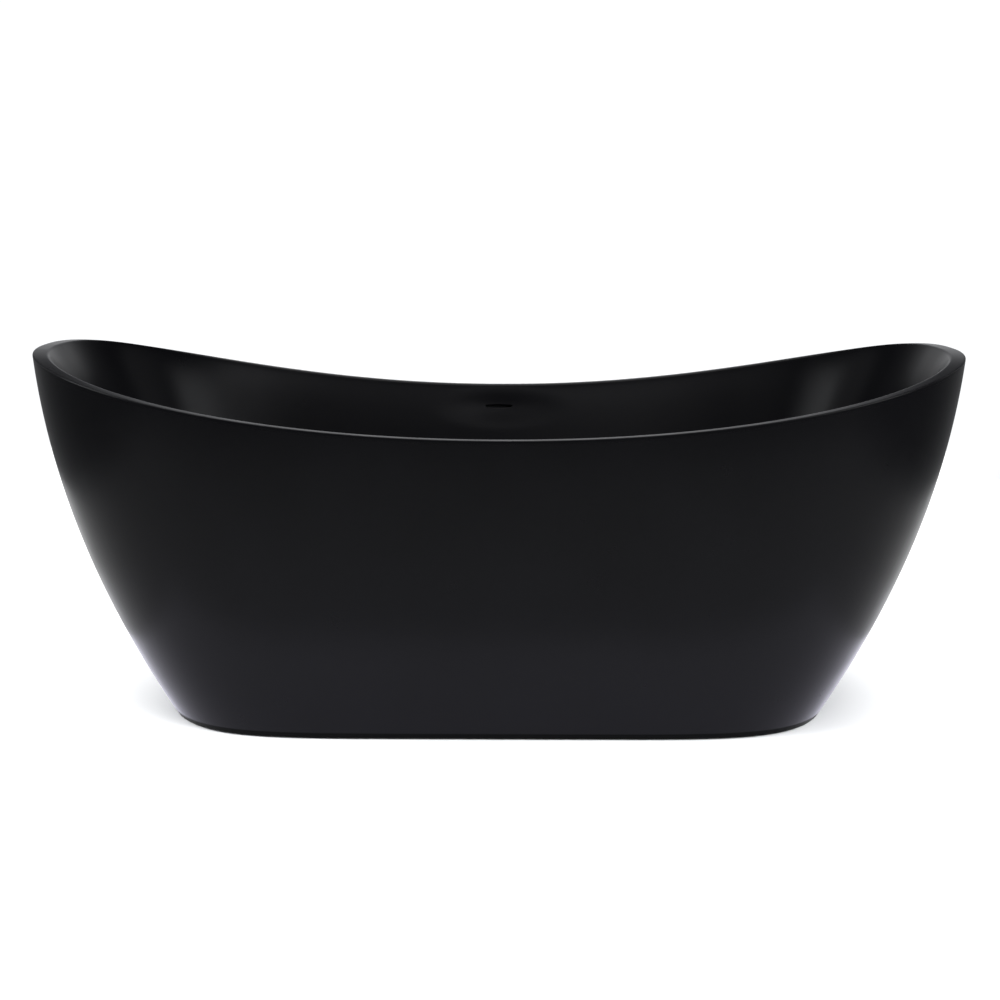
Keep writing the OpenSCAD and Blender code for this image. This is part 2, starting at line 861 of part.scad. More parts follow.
// Frame of the upper end of the hose: its own -Z runs down the sloping stretch
module at_hose_top() {
    translate([0, hose_top[0], hose_top[1]])
        rotate([-hose_top_tilt, 0, 0])
            children();
}

module overflow_box() {
    color([0.15, 0.15, 0.16])
        difference() {
            union() {
                box_block(0);
                at_hose_top()
                    translate([0, 0, spigot_high - spigot_length])
                        cylinder(h = spigot_length, r = barb_r, $fn = round_fn);
            }
            box_block(box_wall);
            at_slot()
                slot_window();
            at_hose_top()
                translate([0, 0, spigot_high - spigot_length - eps])
                    cylinder(h = spigot_length + eps, r = barb_bore_r, $fn = round_fn);
        }
}

module overflow_gasket() {
    color([0.2, 0.2, 0.2])
        at_slot()
            difference() {
                translate([-gasket_length / 2, eps, -gasket_half])
                    cube([gasket_length, gasket_t - eps, 2 * gasket_half]);
                slot_window();
            }
}

// The hose's route in the YZ plane, each entry [y, z, angle above the level]
hose_bend_parts = 8;
hose_route = concat(
    [[hose_start_y, port_z, 0]],
    [
        for (i = [0 : hose_bend_parts])
            let (turn = (90 - hose_top_tilt) * i / hose_bend_parts)
            [bend_y + hose_bend_r * sin(turn), bend_z - hose_bend_r * cos(turn), turn]
    ],
    [[hose_top[0], hose_top[1], 90 - hose_top_tilt]]
);

module overflow_hose() {
    sides = 16;
    count = len(hose_route);
    function hose_ring(v, r) = [
        for (i = [0 : sides - 1])
            let (a = 360 * i / sides)
            [r * cos(a), v[0] - r * sin(a) * sin(v[2]), v[1] + r * sin(a) * cos(v[2])]
    ];
    rings = concat(
        [for (v = hose_route) hose_ring(v, hose_r)],
        [for (i = [count - 1 : -1 : 0]) hose_ring(hose_route[i], hose_bore_r)]
    );
    color([0.75, 0.76, 0.76])
        polyhedron(
            points = [for (r = rings) each r],
            faces = [
                for (j = [0 : 2 * count - 1]) for (i = [0 : sides - 1])
                    let (
                        a = j * sides + i,
                        b = j * sides + (i + 1) % sides,
                        c = (j + 1) % (2 * count) * sides + (i + 1) % sides,
                        d = (j + 1) % (2 * count) * sides + i
                    )
                    each [[a, b, c], [a, c, d]]
            ],
            convexity = 6
        );
}

clamp_width = 9;

module hose_clamp() {
    housing = [10, 6, 8];
    difference() {
        union() {
            cylinder(h = clamp_width, r = hose_r + 1.2, $fn = round_fn);
            translate([-housing[0] / 2, hose_r, (clamp_width - housing[2]) / 2])
                cube(housing);
        }
        translate([0, 0, -eps])
            cylinder(h = clamp_width + 2 * eps, r = hose_r + 0.05, $fn = round_fn);
    }
}

module hose_clamp_top() {
    color([0.76, 0.77, 0.78])
        at_hose_top()
            translate([0, 0, spigot_high - spigot_length + 6])
                rotate([0, 0, 90])
                    hose_clamp();
}

module hose_clamp_bottom() {
    color([0.76, 0.77, 0.78])
        translate([0, hose_start_y + 8, port_z])
            rotate([-90, 0, 0])
                hose_clamp();
}

basin();
outer_shell();
rim_bond();
base_board();
rail_front();
rail_rear();
cross_member_left();
cross_member_right();
board_screws();
weld_nuts();
foot_lock_nuts();
skirt_blocks();
skirt_brackets();
bracket_screws();
foot_stud_1();
foot_stud_2();
foot_stud_3();
foot_stud_4();
foot_pad_1();
foot_pad_2();
foot_pad_3();
foot_pad_4();
drain_flange();
drain_gasket();
drain_washer();
drain_lock_nut();
popup_cartridge();
popup_stem();
popup_spring();
popup_cap();
popup_seal();
waste_tee();
waste_tailpiece();
tailpiece_nut();
tailpiece_washer();
overflow_box();
overflow_gasket();
overflow_hose();
hose_clamp_top();
hose_clamp_bottom();
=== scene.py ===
import json
import math

import bpy
import numpy as np
from mathutils import Matrix, Vector


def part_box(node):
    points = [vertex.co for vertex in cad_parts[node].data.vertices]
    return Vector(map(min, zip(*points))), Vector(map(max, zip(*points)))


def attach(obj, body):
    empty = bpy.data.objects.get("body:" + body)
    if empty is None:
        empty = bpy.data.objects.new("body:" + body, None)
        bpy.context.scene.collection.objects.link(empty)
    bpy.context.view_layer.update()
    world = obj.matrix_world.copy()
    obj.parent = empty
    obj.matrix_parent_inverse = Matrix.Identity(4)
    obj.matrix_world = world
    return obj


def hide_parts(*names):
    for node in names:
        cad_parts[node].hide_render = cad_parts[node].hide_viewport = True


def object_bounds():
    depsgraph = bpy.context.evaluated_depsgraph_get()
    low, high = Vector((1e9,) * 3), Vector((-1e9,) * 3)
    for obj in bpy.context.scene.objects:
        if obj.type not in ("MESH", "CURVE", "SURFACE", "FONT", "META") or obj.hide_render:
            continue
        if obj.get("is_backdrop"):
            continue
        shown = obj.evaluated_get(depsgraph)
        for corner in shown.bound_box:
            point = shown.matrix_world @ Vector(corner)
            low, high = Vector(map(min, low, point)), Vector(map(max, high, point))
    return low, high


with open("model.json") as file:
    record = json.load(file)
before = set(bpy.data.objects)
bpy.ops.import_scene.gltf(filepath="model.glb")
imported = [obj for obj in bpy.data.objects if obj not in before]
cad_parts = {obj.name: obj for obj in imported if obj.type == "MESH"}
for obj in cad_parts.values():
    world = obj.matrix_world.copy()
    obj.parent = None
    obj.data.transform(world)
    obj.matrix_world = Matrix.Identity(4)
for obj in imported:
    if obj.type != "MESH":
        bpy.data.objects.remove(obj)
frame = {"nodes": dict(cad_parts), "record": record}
cad_low, cad_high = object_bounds()

# ---------------------------------------------------------------------------
# Driving values, in millimetres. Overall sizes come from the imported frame.
# ---------------------------------------------------------------------------
MM = 0.001


def box_mm(node):
    low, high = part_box(node)
    return np.array(low) / MM, np.array(high) / MM


basin_low, basin_high = box_mm("basin")
HALF_L = basin_high[0]
END_H = basin_high[2]
TUB_W = 800.0
RIM_DIP = 119.0
BASE_L = 1242.0
BASE_W = 570.0
RIM_SIDE = 20.0
RIM_END = 28.0
SKIN = 6.0
SHELL = 5.0
FLOOR_H = 150.0
SLOT_L = 56.0
SLOT_H = 6.0
SLOT_DROP = 45.0
RIM_CURVE = 2.06
PLAN_X = (6.5, 4.1)
PLAN_Y = (2.2, 2.4)
LENGTH_STRAIGHT = 0.22
WIDTH_STRAIGHT = 0.69
LIP = 8.0
LIP_DEPTH = 30.0
SIDE_TAPER = 0.16
END_TAPER = 0.28
FLOOR_KEEP = (0.8, 0.6)
DISH_R = (155.0, 48.0)
DISH_DEPTH = 6.0
WALL_FOOT = FLOOR_H + 152.0
FLOOR_EDGE = FLOOR_H + 8.0
MID_RIM = END_H - RIM_DIP
SLOT_Z = MID_RIM - SLOT_DROP
COLUMNS = 480
EDGE_R = 2.6
LIP_R = 4.0
SLOT_PATCH = 17.0
SLOT_PATCH_COLUMNS = 5
SLOT_ROLL = 1.3
SEAT_R = 40.0
SEAT_Z = FLOOR_H - 4.0
HOLE_R = 24.5
BACK_Z = FLOOR_H - 10.0
FLOOR_EXTRA = 12.0
GLUE_GAP = 0.2
BORE_GAP = 0.06
SCREW_HEAD_R = 4.0
SCREW_HEAD_H = 2.5


def mix(a, b, t):
    return a + (b - a) * t


def curve_point(a, corner, b, t):
    """Point at t of the quadratic curve from a to b."""
    return (1 - t) ** 2 * a + 2 * t * (1 - t) * corner + t * t * b


def ease(t):
    return t * t * (3 - 2 * t)


def taper(z, straight):
    v = (END_H - z) / END_H
    return straight * v + (1 - straight) * v * v


HALF_W_TOP = BASE_W / 2 + (TUB_W - BASE_W) / 2 / (1 - taper(MID_RIM, WIDTH_STRAIGHT))


def half_length(z):
    return mix(HALF_L, BASE_L / 2, taper(z, LENGTH_STRAIGHT))


def half_width(z):
    return mix(HALF_W_TOP, BASE_W / 2, taper(z, WIDTH_STRAIGHT))


def powers(z):
    return mix(PLAN_X[0], PLAN_X[1], z / END_H), mix(PLAN_Y[0], PLAN_Y[1], z / END_H)


def outer_xy(phi, z):
    """Point of the outer plan at height z in the direction phi."""
    c, s = np.cos(phi), np.sin(phi)
    p, q = powers(z)
    w = np.abs(c) ** p + np.abs(s) ** q
    return half_length(z) * c / w ** (1 / p), half_width(z) * s / w ** (1 / q)


def outer_normal(phi, z):
    x, y = outer_xy(phi, z)
    a, b = half_length(z), half_width(z)
    p, q = powers(z)
    nx = p * np.sign(x) * (np.abs(x) / a) ** (p - 1) / a
    ny = q * np.sign(y) * (np.abs(y) / b) ** (q - 1) / b
    size = np.hypot(nx, ny)
    return nx / size, ny / size


def rim_line(x):
    return END_H - RIM_DIP * (1 - np.minimum(1, np.abs(x) / HALF_L) ** RIM_CURVE)


PHI = np.arange(COLUMNS) * 2 * math.pi / COLUMNS


def rim_heights(phi):
    z = np.full_like(phi, END_H)
    for _ in range(40):
        z = (z + rim_line(outer_xy(phi, z)[0])) / 2
    return z


RIMS = rim_heights(PHI)


def inset_ring(phi, z, inset):
    """Ring set inward from the outer surface, as rows of x, y, z."""
    z = np.broadcast_to(z, phi.shape)
    x, y = outer_xy(phi, z)
    nx, ny = outer_normal(phi, z)
    return np.stack([x - inset * nx, y - inset * ny, z], axis=1)


def end_share(phi, z):
    return outer_normal(phi, z)[0] ** 2


def rim_width(phi, z):
    return mix(RIM_SIDE, RIM_END, end_share(phi, z))


def wall_inset(phi, z, drop):
    return (
        rim_width(phi, z)
        + LIP * (1 - np.exp(-drop / LIP_DEPTH))
        + mix(SIDE_TAPER, END_TAPER, end_share(phi, z)) * drop
    )


def dish(x, z):
    d = np.hypot(x / DISH_R[0], (z - SLOT_Z) / DISH_R[1])
    return DISH_DEPTH * (1 - ease(np.clip(d, 0, 1)))


def wall_ring(phi, top, z):
    z = np.broadcast_to(z, phi.shape)
    ring = inset_ring(phi, z, wall_inset(phi, z, top - z))
    ring[:, 1] += np.where(ring[:, 1] > 0, dish(ring[:, 0], z), 0)
    return ring


def corner_ring(phi, top):
    low = wall_ring(phi, top, WALL_FOOT)
    high = wall_ring(phi, top, WALL_FOOT + 10)
    slope = (high - low) / 10
    rise = WALL_FOOT - FLOOR_EDGE
    out = low - slope * rise
    out[:, 2] = FLOOR_EDGE
    return out


def bend_ring(phi, top, t):
    """Curve from the floor, t = 0, up to the wall, t = 1."""
    corner = corner_ring(phi, top)
    foot = corner * np.array([FLOOR_KEEP[0], FLOOR_KEEP[1], 1])
    wall = wall_ring(phi, top, WALL_FOOT)
    return curve_point(foot, corner, wall, t)


def floor_ring(phi, top, t):
    seat = np.stack([SEAT_R * np.cos(phi), SEAT_R * np.sin(phi), np.zeros_like(phi)], axis=1)
    edge = corner_ring(phi, top) * np.array([FLOOR_KEEP[0], FLOOR_KEEP[1], 1])
    ring = seat + (edge - seat) * t
    ring[:, 2] = FLOOR_H + (FLOOR_EDGE - FLOOR_H) * math.sin(math.pi / 2 * t)
    return ring


def circle_ring(phi, r, z):
    return np.stack([r * np.cos(phi), r * np.sin(phi), np.full_like(phi, z)], axis=1)


# ---------------------------------------------------------------------------
# Mesh helpers
# ---------------------------------------------------------------------------
def make_piece(name, verts, faces, material, body, stands_for=(), sharp=35.0):
    """Mesh object from points in millimetres, riding on a body."""
    mesh = bpy.data.meshes.new(name)
    mesh.from_pydata([tuple(v) for v in np.asarray(verts, float) * MM], [], faces)
    mesh.validate()
    mesh.polygons.foreach_set("use_smooth", [True] * len(mesh.polygons))
    if sharp:
        mesh.set_sharp_from_angle(angle=math.radians(sharp))
    mesh.materials.append(material)
    piece = bpy.data.objects.new(name, mesh)
    bpy.context.scene.collection.objects.link(piece)
    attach(piece, body)
    if stands_for:
        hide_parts(*stands_for)
    return piece


def grid_faces(rows, columns, closed_rows=False):
    """Quads between consecutive rings, wound to face outward for rings that go down."""
    faces = []
    last = rows if closed_rows else rows - 1
    for j in range(last):
        j2 = (j + 1) % rows
        for k in range(columns):
            k2 = (k + 1) % columns
            faces.append((j * columns + k, j * columns + k2, j2 * columns + k2, j2 * columns + k))
    return faces


class Builder:
    """Collects several closed shapes into one mesh, each turned to face outward."""

    def __init__(self):
        self.verts = []
        self.faces = []

    def add(self, verts, faces):
        verts = np.asarray(verts, float)
        middle = verts.mean(0)
        volume = 0.0
        for f in faces:
            p = verts[list(f)] - middle
            for k in range(1, len(f) - 1):
                volume += np.dot(p[0], np.cross(p[k], p[k + 1]))
        start = len(self.verts)
        self.verts.extend([tuple(v) for v in verts])
        for f in faces:
            f = f if volume > 0 else f[::-1]
            self.faces.append(tuple(i + start for i in f))

    def rings(self, rings, closed=False, turn=None, centre=(0, 0, 0)):
        """Skin over rings of points; open ends get a cap."""
        count = len(rings[0])
        verts = np.concatenate(rings)
        if turn is not None:
            verts = verts @ np.array(turn, float).T
        faces = grid_faces(len(rings), count, closed_rows=closed)
        if not closed:
            faces.append(tuple(range(count))[::-1])
            faces.append(tuple((len(rings) - 1) * count + k for k in range(count)))
        self.add(verts + np.array(centre, float), faces)

    def lathe(self, profile, segments=64, centre=(0, 0, 0), turn=None):
        """Turned shape from a closed profile of (radius, height) points."""
        self.rings([ring_points(r, z, segments) for r, z in profile], True, turn, centre)

    def box(self, low, high, bevel=0.0, turn=None, centre=(0, 0, 0)):
        """Box with chamfered edges."""
        low, high = np.array(low, float), np.array(high, float)
        b = min(bevel, min(high - low) / 2.01)
        pts, index = [], {}
        for corner in range(8):
            sign = [(corner >> i) & 1 for i in range(3)]
            for axis in range(3):
                v = [
                    (high[i] - (b if i != axis else 0)) if sign[i]
                    else (low[i] + (b if i != axis else 0))
                    for i in range(3)
                ]
                index[(corner, axis)] = len(pts)
                pts.append(v)
        faces = []
        for axis in range(3):
            u, w = [i for i in range(3) if i != axis]
            for side in (0, 1):
                loop = []
                for a, c in ((0, 0), (1, 0), (1, 1), (0, 1)):
                    corner = (side << axis) | (a << u) | (c << w)
                    loop.append(index[(corner, axis)])
                faces.append(loop)
        for axis in range(3):
            u, w = [i for i in range(3) if i != axis]
            for a in (0, 1):
                for c in (0, 1):
                    c0 = (a << u) | (c << w)
                    c1 = c0 | (1 << axis)
                    faces.append([index[(c0, u)], index[(c1, u)], index[(c1, w)], index[(c0, w)]])
        for corner in range(8):
            faces.append([index[(corner, 0)], index[(corner, 1)], index[(corner, 2)]])
        pts = np.array(pts)
        middle = (low + high) / 2
        good = []
        for f in faces:
            p = pts[list(f)]
            n = np.cross(p[1] - p[0], p[2] - p[0])
            good.append(tuple(f) if np.dot(n, p.mean(0) - middle) > 0 else tuple(f[::-1]))
        if turn is not None:
            pts = pts @ np.array(turn, float).T
        self.add(pts + np.array(centre, float), good)

    def tube(self, path, radii, sides):
        """Round bar along a path, its radius given at each point."""
        path = np.array(path, float)
        n = len(path)
        tangents = np.gradient(path, axis=0)
        tangents /= np.linalg.norm(tangents, axis=1)[:, None]
        up = np.array([1.0, 0, 0])
        verts = []
        for i in range(n):
            t = tangents[i]
            u = up - np.dot(up, t) * t
            if np.linalg.norm(u) < 1e-6:
                u = np.array([0, 1.0, 0]) - t[1] * t
            u /= np.linalg.norm(u)
            v = np.cross(t, u)
            a = np.arange(sides) * 2 * math.pi / sides
            verts.append(path[i] + radii[i] * (np.cos(a)[:, None] * u + np.sin(a)[:, None] * v))
        faces = [f[::-1] for f in grid_faces(n, sides)]
        faces.append(tuple(range(sides)))
        faces.append(tuple((n - 1) * sides + k for k in range(sides - 1, -1, -1)))
        self.add(np.concatenate(verts), faces)


def rounded_profile(points, radii, steps=4):
    """Replaces each corner of a closed profile by a short curve."""
    pts = [np.array(p, float) for p in points]
    out = []
    n = len(pts)
    for i in range(n):
        p, r = pts[i], radii[i] if isinstance(radii, (list, tuple)) else radii
        a, b = pts[i - 1], pts[(i + 1) % n]
        la, lb = np.linalg.norm(a - p), np.linalg.norm(b - p)
        cut = min(r, la * 0.45, lb * 0.45)
        if cut <= 0.01:
            out.append(tuple(p))
            continue
        s, e = p + (a - p) / la * cut, p + (b - p) / lb * cut
        for k in range(steps + 1):
            t = k / steps
            out.append(tuple(curve_point(s, p, e, t)))
    return out


# ---------------------------------------------------------------------------
# Materials
# ---------------------------------------------------------------------------
def node_material(name):
    material = bpy.data.materials.new(name)
    material.use_nodes = True
    tree = material.node_tree
    shader = tree.nodes["Principled BSDF"]
    return material, tree, shader


def add_node(tree, kind, **inputs):
    """New shader node: an input given a socket is linked to it, and any other value is set."""
    node = tree.nodes.new(kind)
    for name, value in inputs.items():
        socket = node.inputs[name.replace("_", " ")]
        if isinstance(value, bpy.types.NodeSocket):
            tree.links.new(value, socket)
        else:
            socket.default_value = value
    return node


def coordinates(tree, scale=(1, 1, 1)):
    coords = tree.nodes.new("ShaderNodeTexCoord")
    mapping = add_node(tree, "ShaderNodeMapping", Scale=scale, Vector=coords.outputs["Object"])
    return mapping.outputs["Vector"]


def noise(tree, vector, scale, detail=3.0, roughness=0.55):
    node = add_node(
        tree, "ShaderNodeTexNoise", Scale=scale, Detail=detail, Roughness=roughness, Vector=vector)
    return node.outputs["Fac"]


def ramp(tree, value, stops):
    node = add_node(tree, "ShaderNodeValToRGB", Fac=value)
    elements = node.color_ramp.elements
    while len(elements) < len(stops):
        elements.new(0.5)
    for element, (place, colour) in zip(elements, stops):
        element.position = place
        element.color = (*colour, 1)
    return node.outputs["Color"]


def map_range(tree, value, low, high, from_low=0.25, from_high=0.75):
    node = add_node(
        tree, "ShaderNodeMapRange", Value=value, From_Min=from_low, From_Max=from_high,
        To_Min=low, To_Max=high)
    return node.outputs["Result"]


def bump(tree, shader, height, distance):
    node = add_node(tree, "ShaderNodeBump", Distance=distance, Strength=1.0, Height=height)
    tree.links.new(node.outputs["Normal"], shader.inputs["Normal"])


def surface(
    name, dark, light, rough, grain=300.0, cloud=9.0, height=0.00005, metallic=0.0,
    specular=0.5, stretch=(1, 1, 1),
):
    """Procedural finish: clouded colour, uneven roughness and a fine bump."""
    material, tree, shader = node_material(name)
    vector = coordinates(tree, stretch)
    colour = ramp(tree, noise(tree, vector, cloud, 4), [(0.3, dark), (0.7, light)])
    tree.links.new(colour, shader.inputs["Base Color"])
    fine = noise(tree, vector, grain, 3)
    tree.links.new(map_range(tree, noise(tree, vector, cloud * 3, 3), *rough), shader.inputs["Roughness"])
    bump(tree, shader, fine, height)
    shader.inputs["Metallic"].default_value = metallic
    shader.inputs["Specular IOR Level"].default_value = specular
    return material


def plywood_finish(name):
    """Long grain on the faces, and bands of plies where the surface stands upright."""
    material, tree, shader = node_material(name)
    vector = coordinates(tree, (6, 60, 60))
    grain = noise(tree, vector, 4.0, 6, 0.65)
    face = ramp(
        tree, grain,
        [(0.3, (0.50, 0.34, 0.19)), (0.55, (0.66, 0.49, 0.30)), (0.75, (0.74, 0.58, 0.38))],
    )
    layers = add_node(
        tree, "ShaderNodeTexWave", Scale=105.0, Distortion=0.4, Detail=2.0, Vector=coordinates(tree))
    layers.wave_type = "BANDS"
    layers.bands_direction = "Z"
    edge = ramp(tree, layers.outputs["Fac"], [(0.42, (0.33, 0.21, 0.11)), (0.58, (0.68, 0.51, 0.32))])
    geometry = tree.nodes.new("ShaderNodeNewGeometry")
    split = add_node(tree, "ShaderNodeSeparateXYZ", Vector=geometry.outputs["Normal"])
    upright = tree.nodes.new("ShaderNodeMath")
    upright.operation = "ABSOLUTE"
    tree.links.new(split.outputs["Z"], upright.inputs[0])
    blend = tree.nodes.new("ShaderNodeMix")
    blend.data_type = "RGBA"
    tree.links.new(upright.outputs[0], blend.inputs["Factor"])
    tree.links.new(edge, blend.inputs["A"])
    tree.links.new(face, blend.inputs["B"])
    tree.links.new(blend.outputs["Result"], shader.inputs["Base Color"])
    tree.links.new(map_range(tree, grain, 0.55, 0.75), shader.inputs["Roughness"])
    bump(tree, shader, grain, 0.0003)
    return material


def galvanised_finish(name):
    """Zinc spangle: crystal patches of slightly different grey and gloss."""
    material, tree, shader = node_material(name)
    vector = coordinates(tree)
    cells = add_node(tree, "ShaderNodeTexVoronoi", Scale=90.0, Vector=vector)
    split = add_node(tree, "ShaderNodeSeparateColor", Color=cells.outputs["Color"])
    colour = ramp(
        tree, split.outputs["Red"],
        [(0.0, (0.40, 0.42, 0.44)), (0.5, (0.52, 0.54, 0.56)), (1.0, (0.62, 0.64, 0.66))],
    )
    tree.links.new(colour, shader.inputs["Base Color"])
    tree.links.new(map_range(tree, split.outputs["Green"], 0.34, 0.5), shader.inputs["Roughness"])
    bump(tree, shader, noise(tree, vector, 500, 3), 0.00004)
    shader.inputs["Metallic"].default_value = 0.85
    return material


BODY_DARK = (0.0008, 0.0008, 0.0011)
BODY_LIGHT = (0.0012, 0.0012, 0.0016)
BODY_GLOSS = 0.05
BODY_ROUGH = (0.27, 0.32)
finishes = {
    "acrylic_black": surface("satin_black_acrylic", BODY_DARK, BODY_LIGHT, BODY_ROUGH, grain=1400,
                             cloud=5, height=0.000012, specular=BODY_GLOSS),
    "shell_black": surface("satin_black_shell", BODY_DARK, BODY_LIGHT, BODY_ROUGH, grain=1400,
                           cloud=5, height=0.000012, specular=BODY_GLOSS),
    "adhesive": surface("cured_adhesive", (0.62, 0.59, 0.50), (0.78, 0.75, 0.66), (0.55, 0.75),
                        grain=220, cloud=30, height=0.0006),
    "plywood": plywood_finish("plywood_board"),
    "galvanised_steel": galvanised_finish("galvanised_steel"),
    "zinc_steel": surface("zinc_plated_steel", (0.60, 0.60, 0.57), (0.74, 0.74, 0.71), (0.22, 0.36),
                          grain=900, cloud=60, height=0.00002, metallic=1.0),
    "foot_plastic": surface("foot_plastic", (0.020, 0.020, 0.020), (0.032, 0.032, 0.032), (0.45, 0.6),
                            grain=1200, cloud=40, height=0.00006),
    "black_brass": surface("black_coated_brass", (0.011, 0.011, 0.012), (0.017, 0.017, 0.018),
                           (0.26, 0.36), grain=1500, cloud=20, height=0.00001, specular=0.14),
    "raw_brass": surface("turned_brass", (0.62, 0.44, 0.19), (0.78, 0.60, 0.31), (0.2, 0.34),
                         grain=60, cloud=50, height=0.00002, metallic=1.0, stretch=(1, 1, 30)),
    "spring_steel": surface("drawn_spring_steel", (0.50, 0.50, 0.50), (0.66, 0.66, 0.66),
                            (0.18, 0.3), grain=1500, cloud=200, height=0.00001, metallic=1.0),
    "black_rubber": surface("black_rubber", (0.015, 0.015, 0.015), (0.024, 0.024, 0.024), (0.6, 0.8),
                            grain=1800, cloud=60, height=0.00005, specular=0.3),
    "waste_plastic": surface("moulded_waste_plastic", (0.010, 0.010, 0.011), (0.016, 0.016, 0.017),
                             (0.38, 0.52), grain=900, cloud=25, height=0.00005, specular=0.12),
    "hose_plastic": surface("hose_plastic", (0.60, 0.61, 0.61), (0.72, 0.73, 0.73), (0.35, 0.5),
                            grain=500, cloud=15, height=0.00004),
}
slot_of = {s["node"]: s["material_slot"] for s in frame["record"]["subparts"]}
for cad_name, cad_node in frame["nodes"].items():
    finish = finishes[slot_of[cad_name]]
    cad_node.data.materials.clear()
    cad_node.data.materials.append(finish)


# ---------------------------------------------------------------------------
# Basin and shell
# ---------------------------------------------------------------------------
def clip_to_frame(points):
    low, high = np.array(cad_low) / MM, np.array(cad_high) / MM
    return np.clip(points, low, high)


def corner_curve(a, corner, b, steps):
    """Points of a quadratic curve, each (inset or radius, height)."""
    a, corner, b = np.array(a), np.array(corner), np.array(b)
    return [tuple(curve_point(a, corner, b, k / steps)) for k in range(steps + 1)]


def rim_section():
    """Rings over the flange: up its outer edge, across the top, and over the inner edge."""
    rings = [inset_ring(PHI, RIMS - SKIN, 0.0)]
    for inset, down in corner_curve((0, EDGE_R), (0, 0), (EDGE_R, 0), 6):
        rings.append(inset_ring(PHI, RIMS - down, inset))
    width = rim_width(PHI, RIMS)
    for t in (0.33, 0.66):
        rings.append(inset_ring(PHI, RIMS, mix(EDGE_R, width - LIP_R, t)))
    low_inset = wall_inset(PHI, RIMS - LIP_R, LIP_R)
    for k in range(7):
        t = k / 6
        inset = curve_point(width - LIP_R, width, low_inset, t)
        rings.append(inset_ring(PHI, RIMS - t * t * LIP_R, inset))
    return rings


WALL_ROWS = 46
BEND_ROWS = 22


def wall_section():
    """Wall and bend rings from just under the rim's edge to the floor."""
    rings = []
    for j in range(1, WALL_ROWS + 1):
        t = j / WALL_ROWS
        rings.append(wall_ring(PHI, RIMS, mix(RIMS - LIP_R, WALL_FOOT, t)))
    for j in range(1, BEND_ROWS + 1):
        rings.append(bend_ring(PHI, RIMS, 1 - j / BEND_ROWS))
    return rings


def back_rings(rings, thickness):
    """Rings set outward from the given ones, square to the surface."""
    out = []
    for j in range(1, len(rings) - 1):
        along = np.roll(rings[j], -1, axis=0) - np.roll(rings[j], 1, axis=0)
        down = rings[j + 1] - rings[j - 1]
        n = np.cross(down, along)
        n /= np.linalg.norm(n, axis=1)[:, None]
        out.append(rings[j] + thickness[j] * n)
    return out


def slot_points(directions, grow):
    """Points of the slot's outline, one for each (x, z) point of the patch's edge."""
    half, radius = (SLOT_L - SLOT_H) / 2, SLOT_H / 2 + grow
    out = []
    for x, z in directions:
        spine = np.clip(x * 0.62, -half, half)
        v = np.array([x - spine, z])
        v = v / max(np.linalg.norm(v), 1e-9)
        out.append((spine + radius * v[0], radius * v[1]))
    return np.array(out)


def wall_depth(x, z):
    """The overflow wall's y at places x, z, and its slopes."""
    phi = np.linspace(math.radians(70), math.radians(110), 400)
    top = rim_heights(phi)

    def y_at(xs, zs):
        out = np.empty(len(xs))
        for i, (a, b) in enumerate(zip(xs, zs)):
            ring = wall_ring(phi, top, b)
            order = np.argsort(ring[:, 0])
            out[i] = np.interp(a, ring[order, 0], ring[order, 1])
        return out

    y = y_at(x, z)
    dx = (y_at(x + 1, z) - y_at(x - 1, z)) / 2
    dz = (y_at(x, z + 1) - y_at(x, z - 1)) / 2
    return y, dx, dz


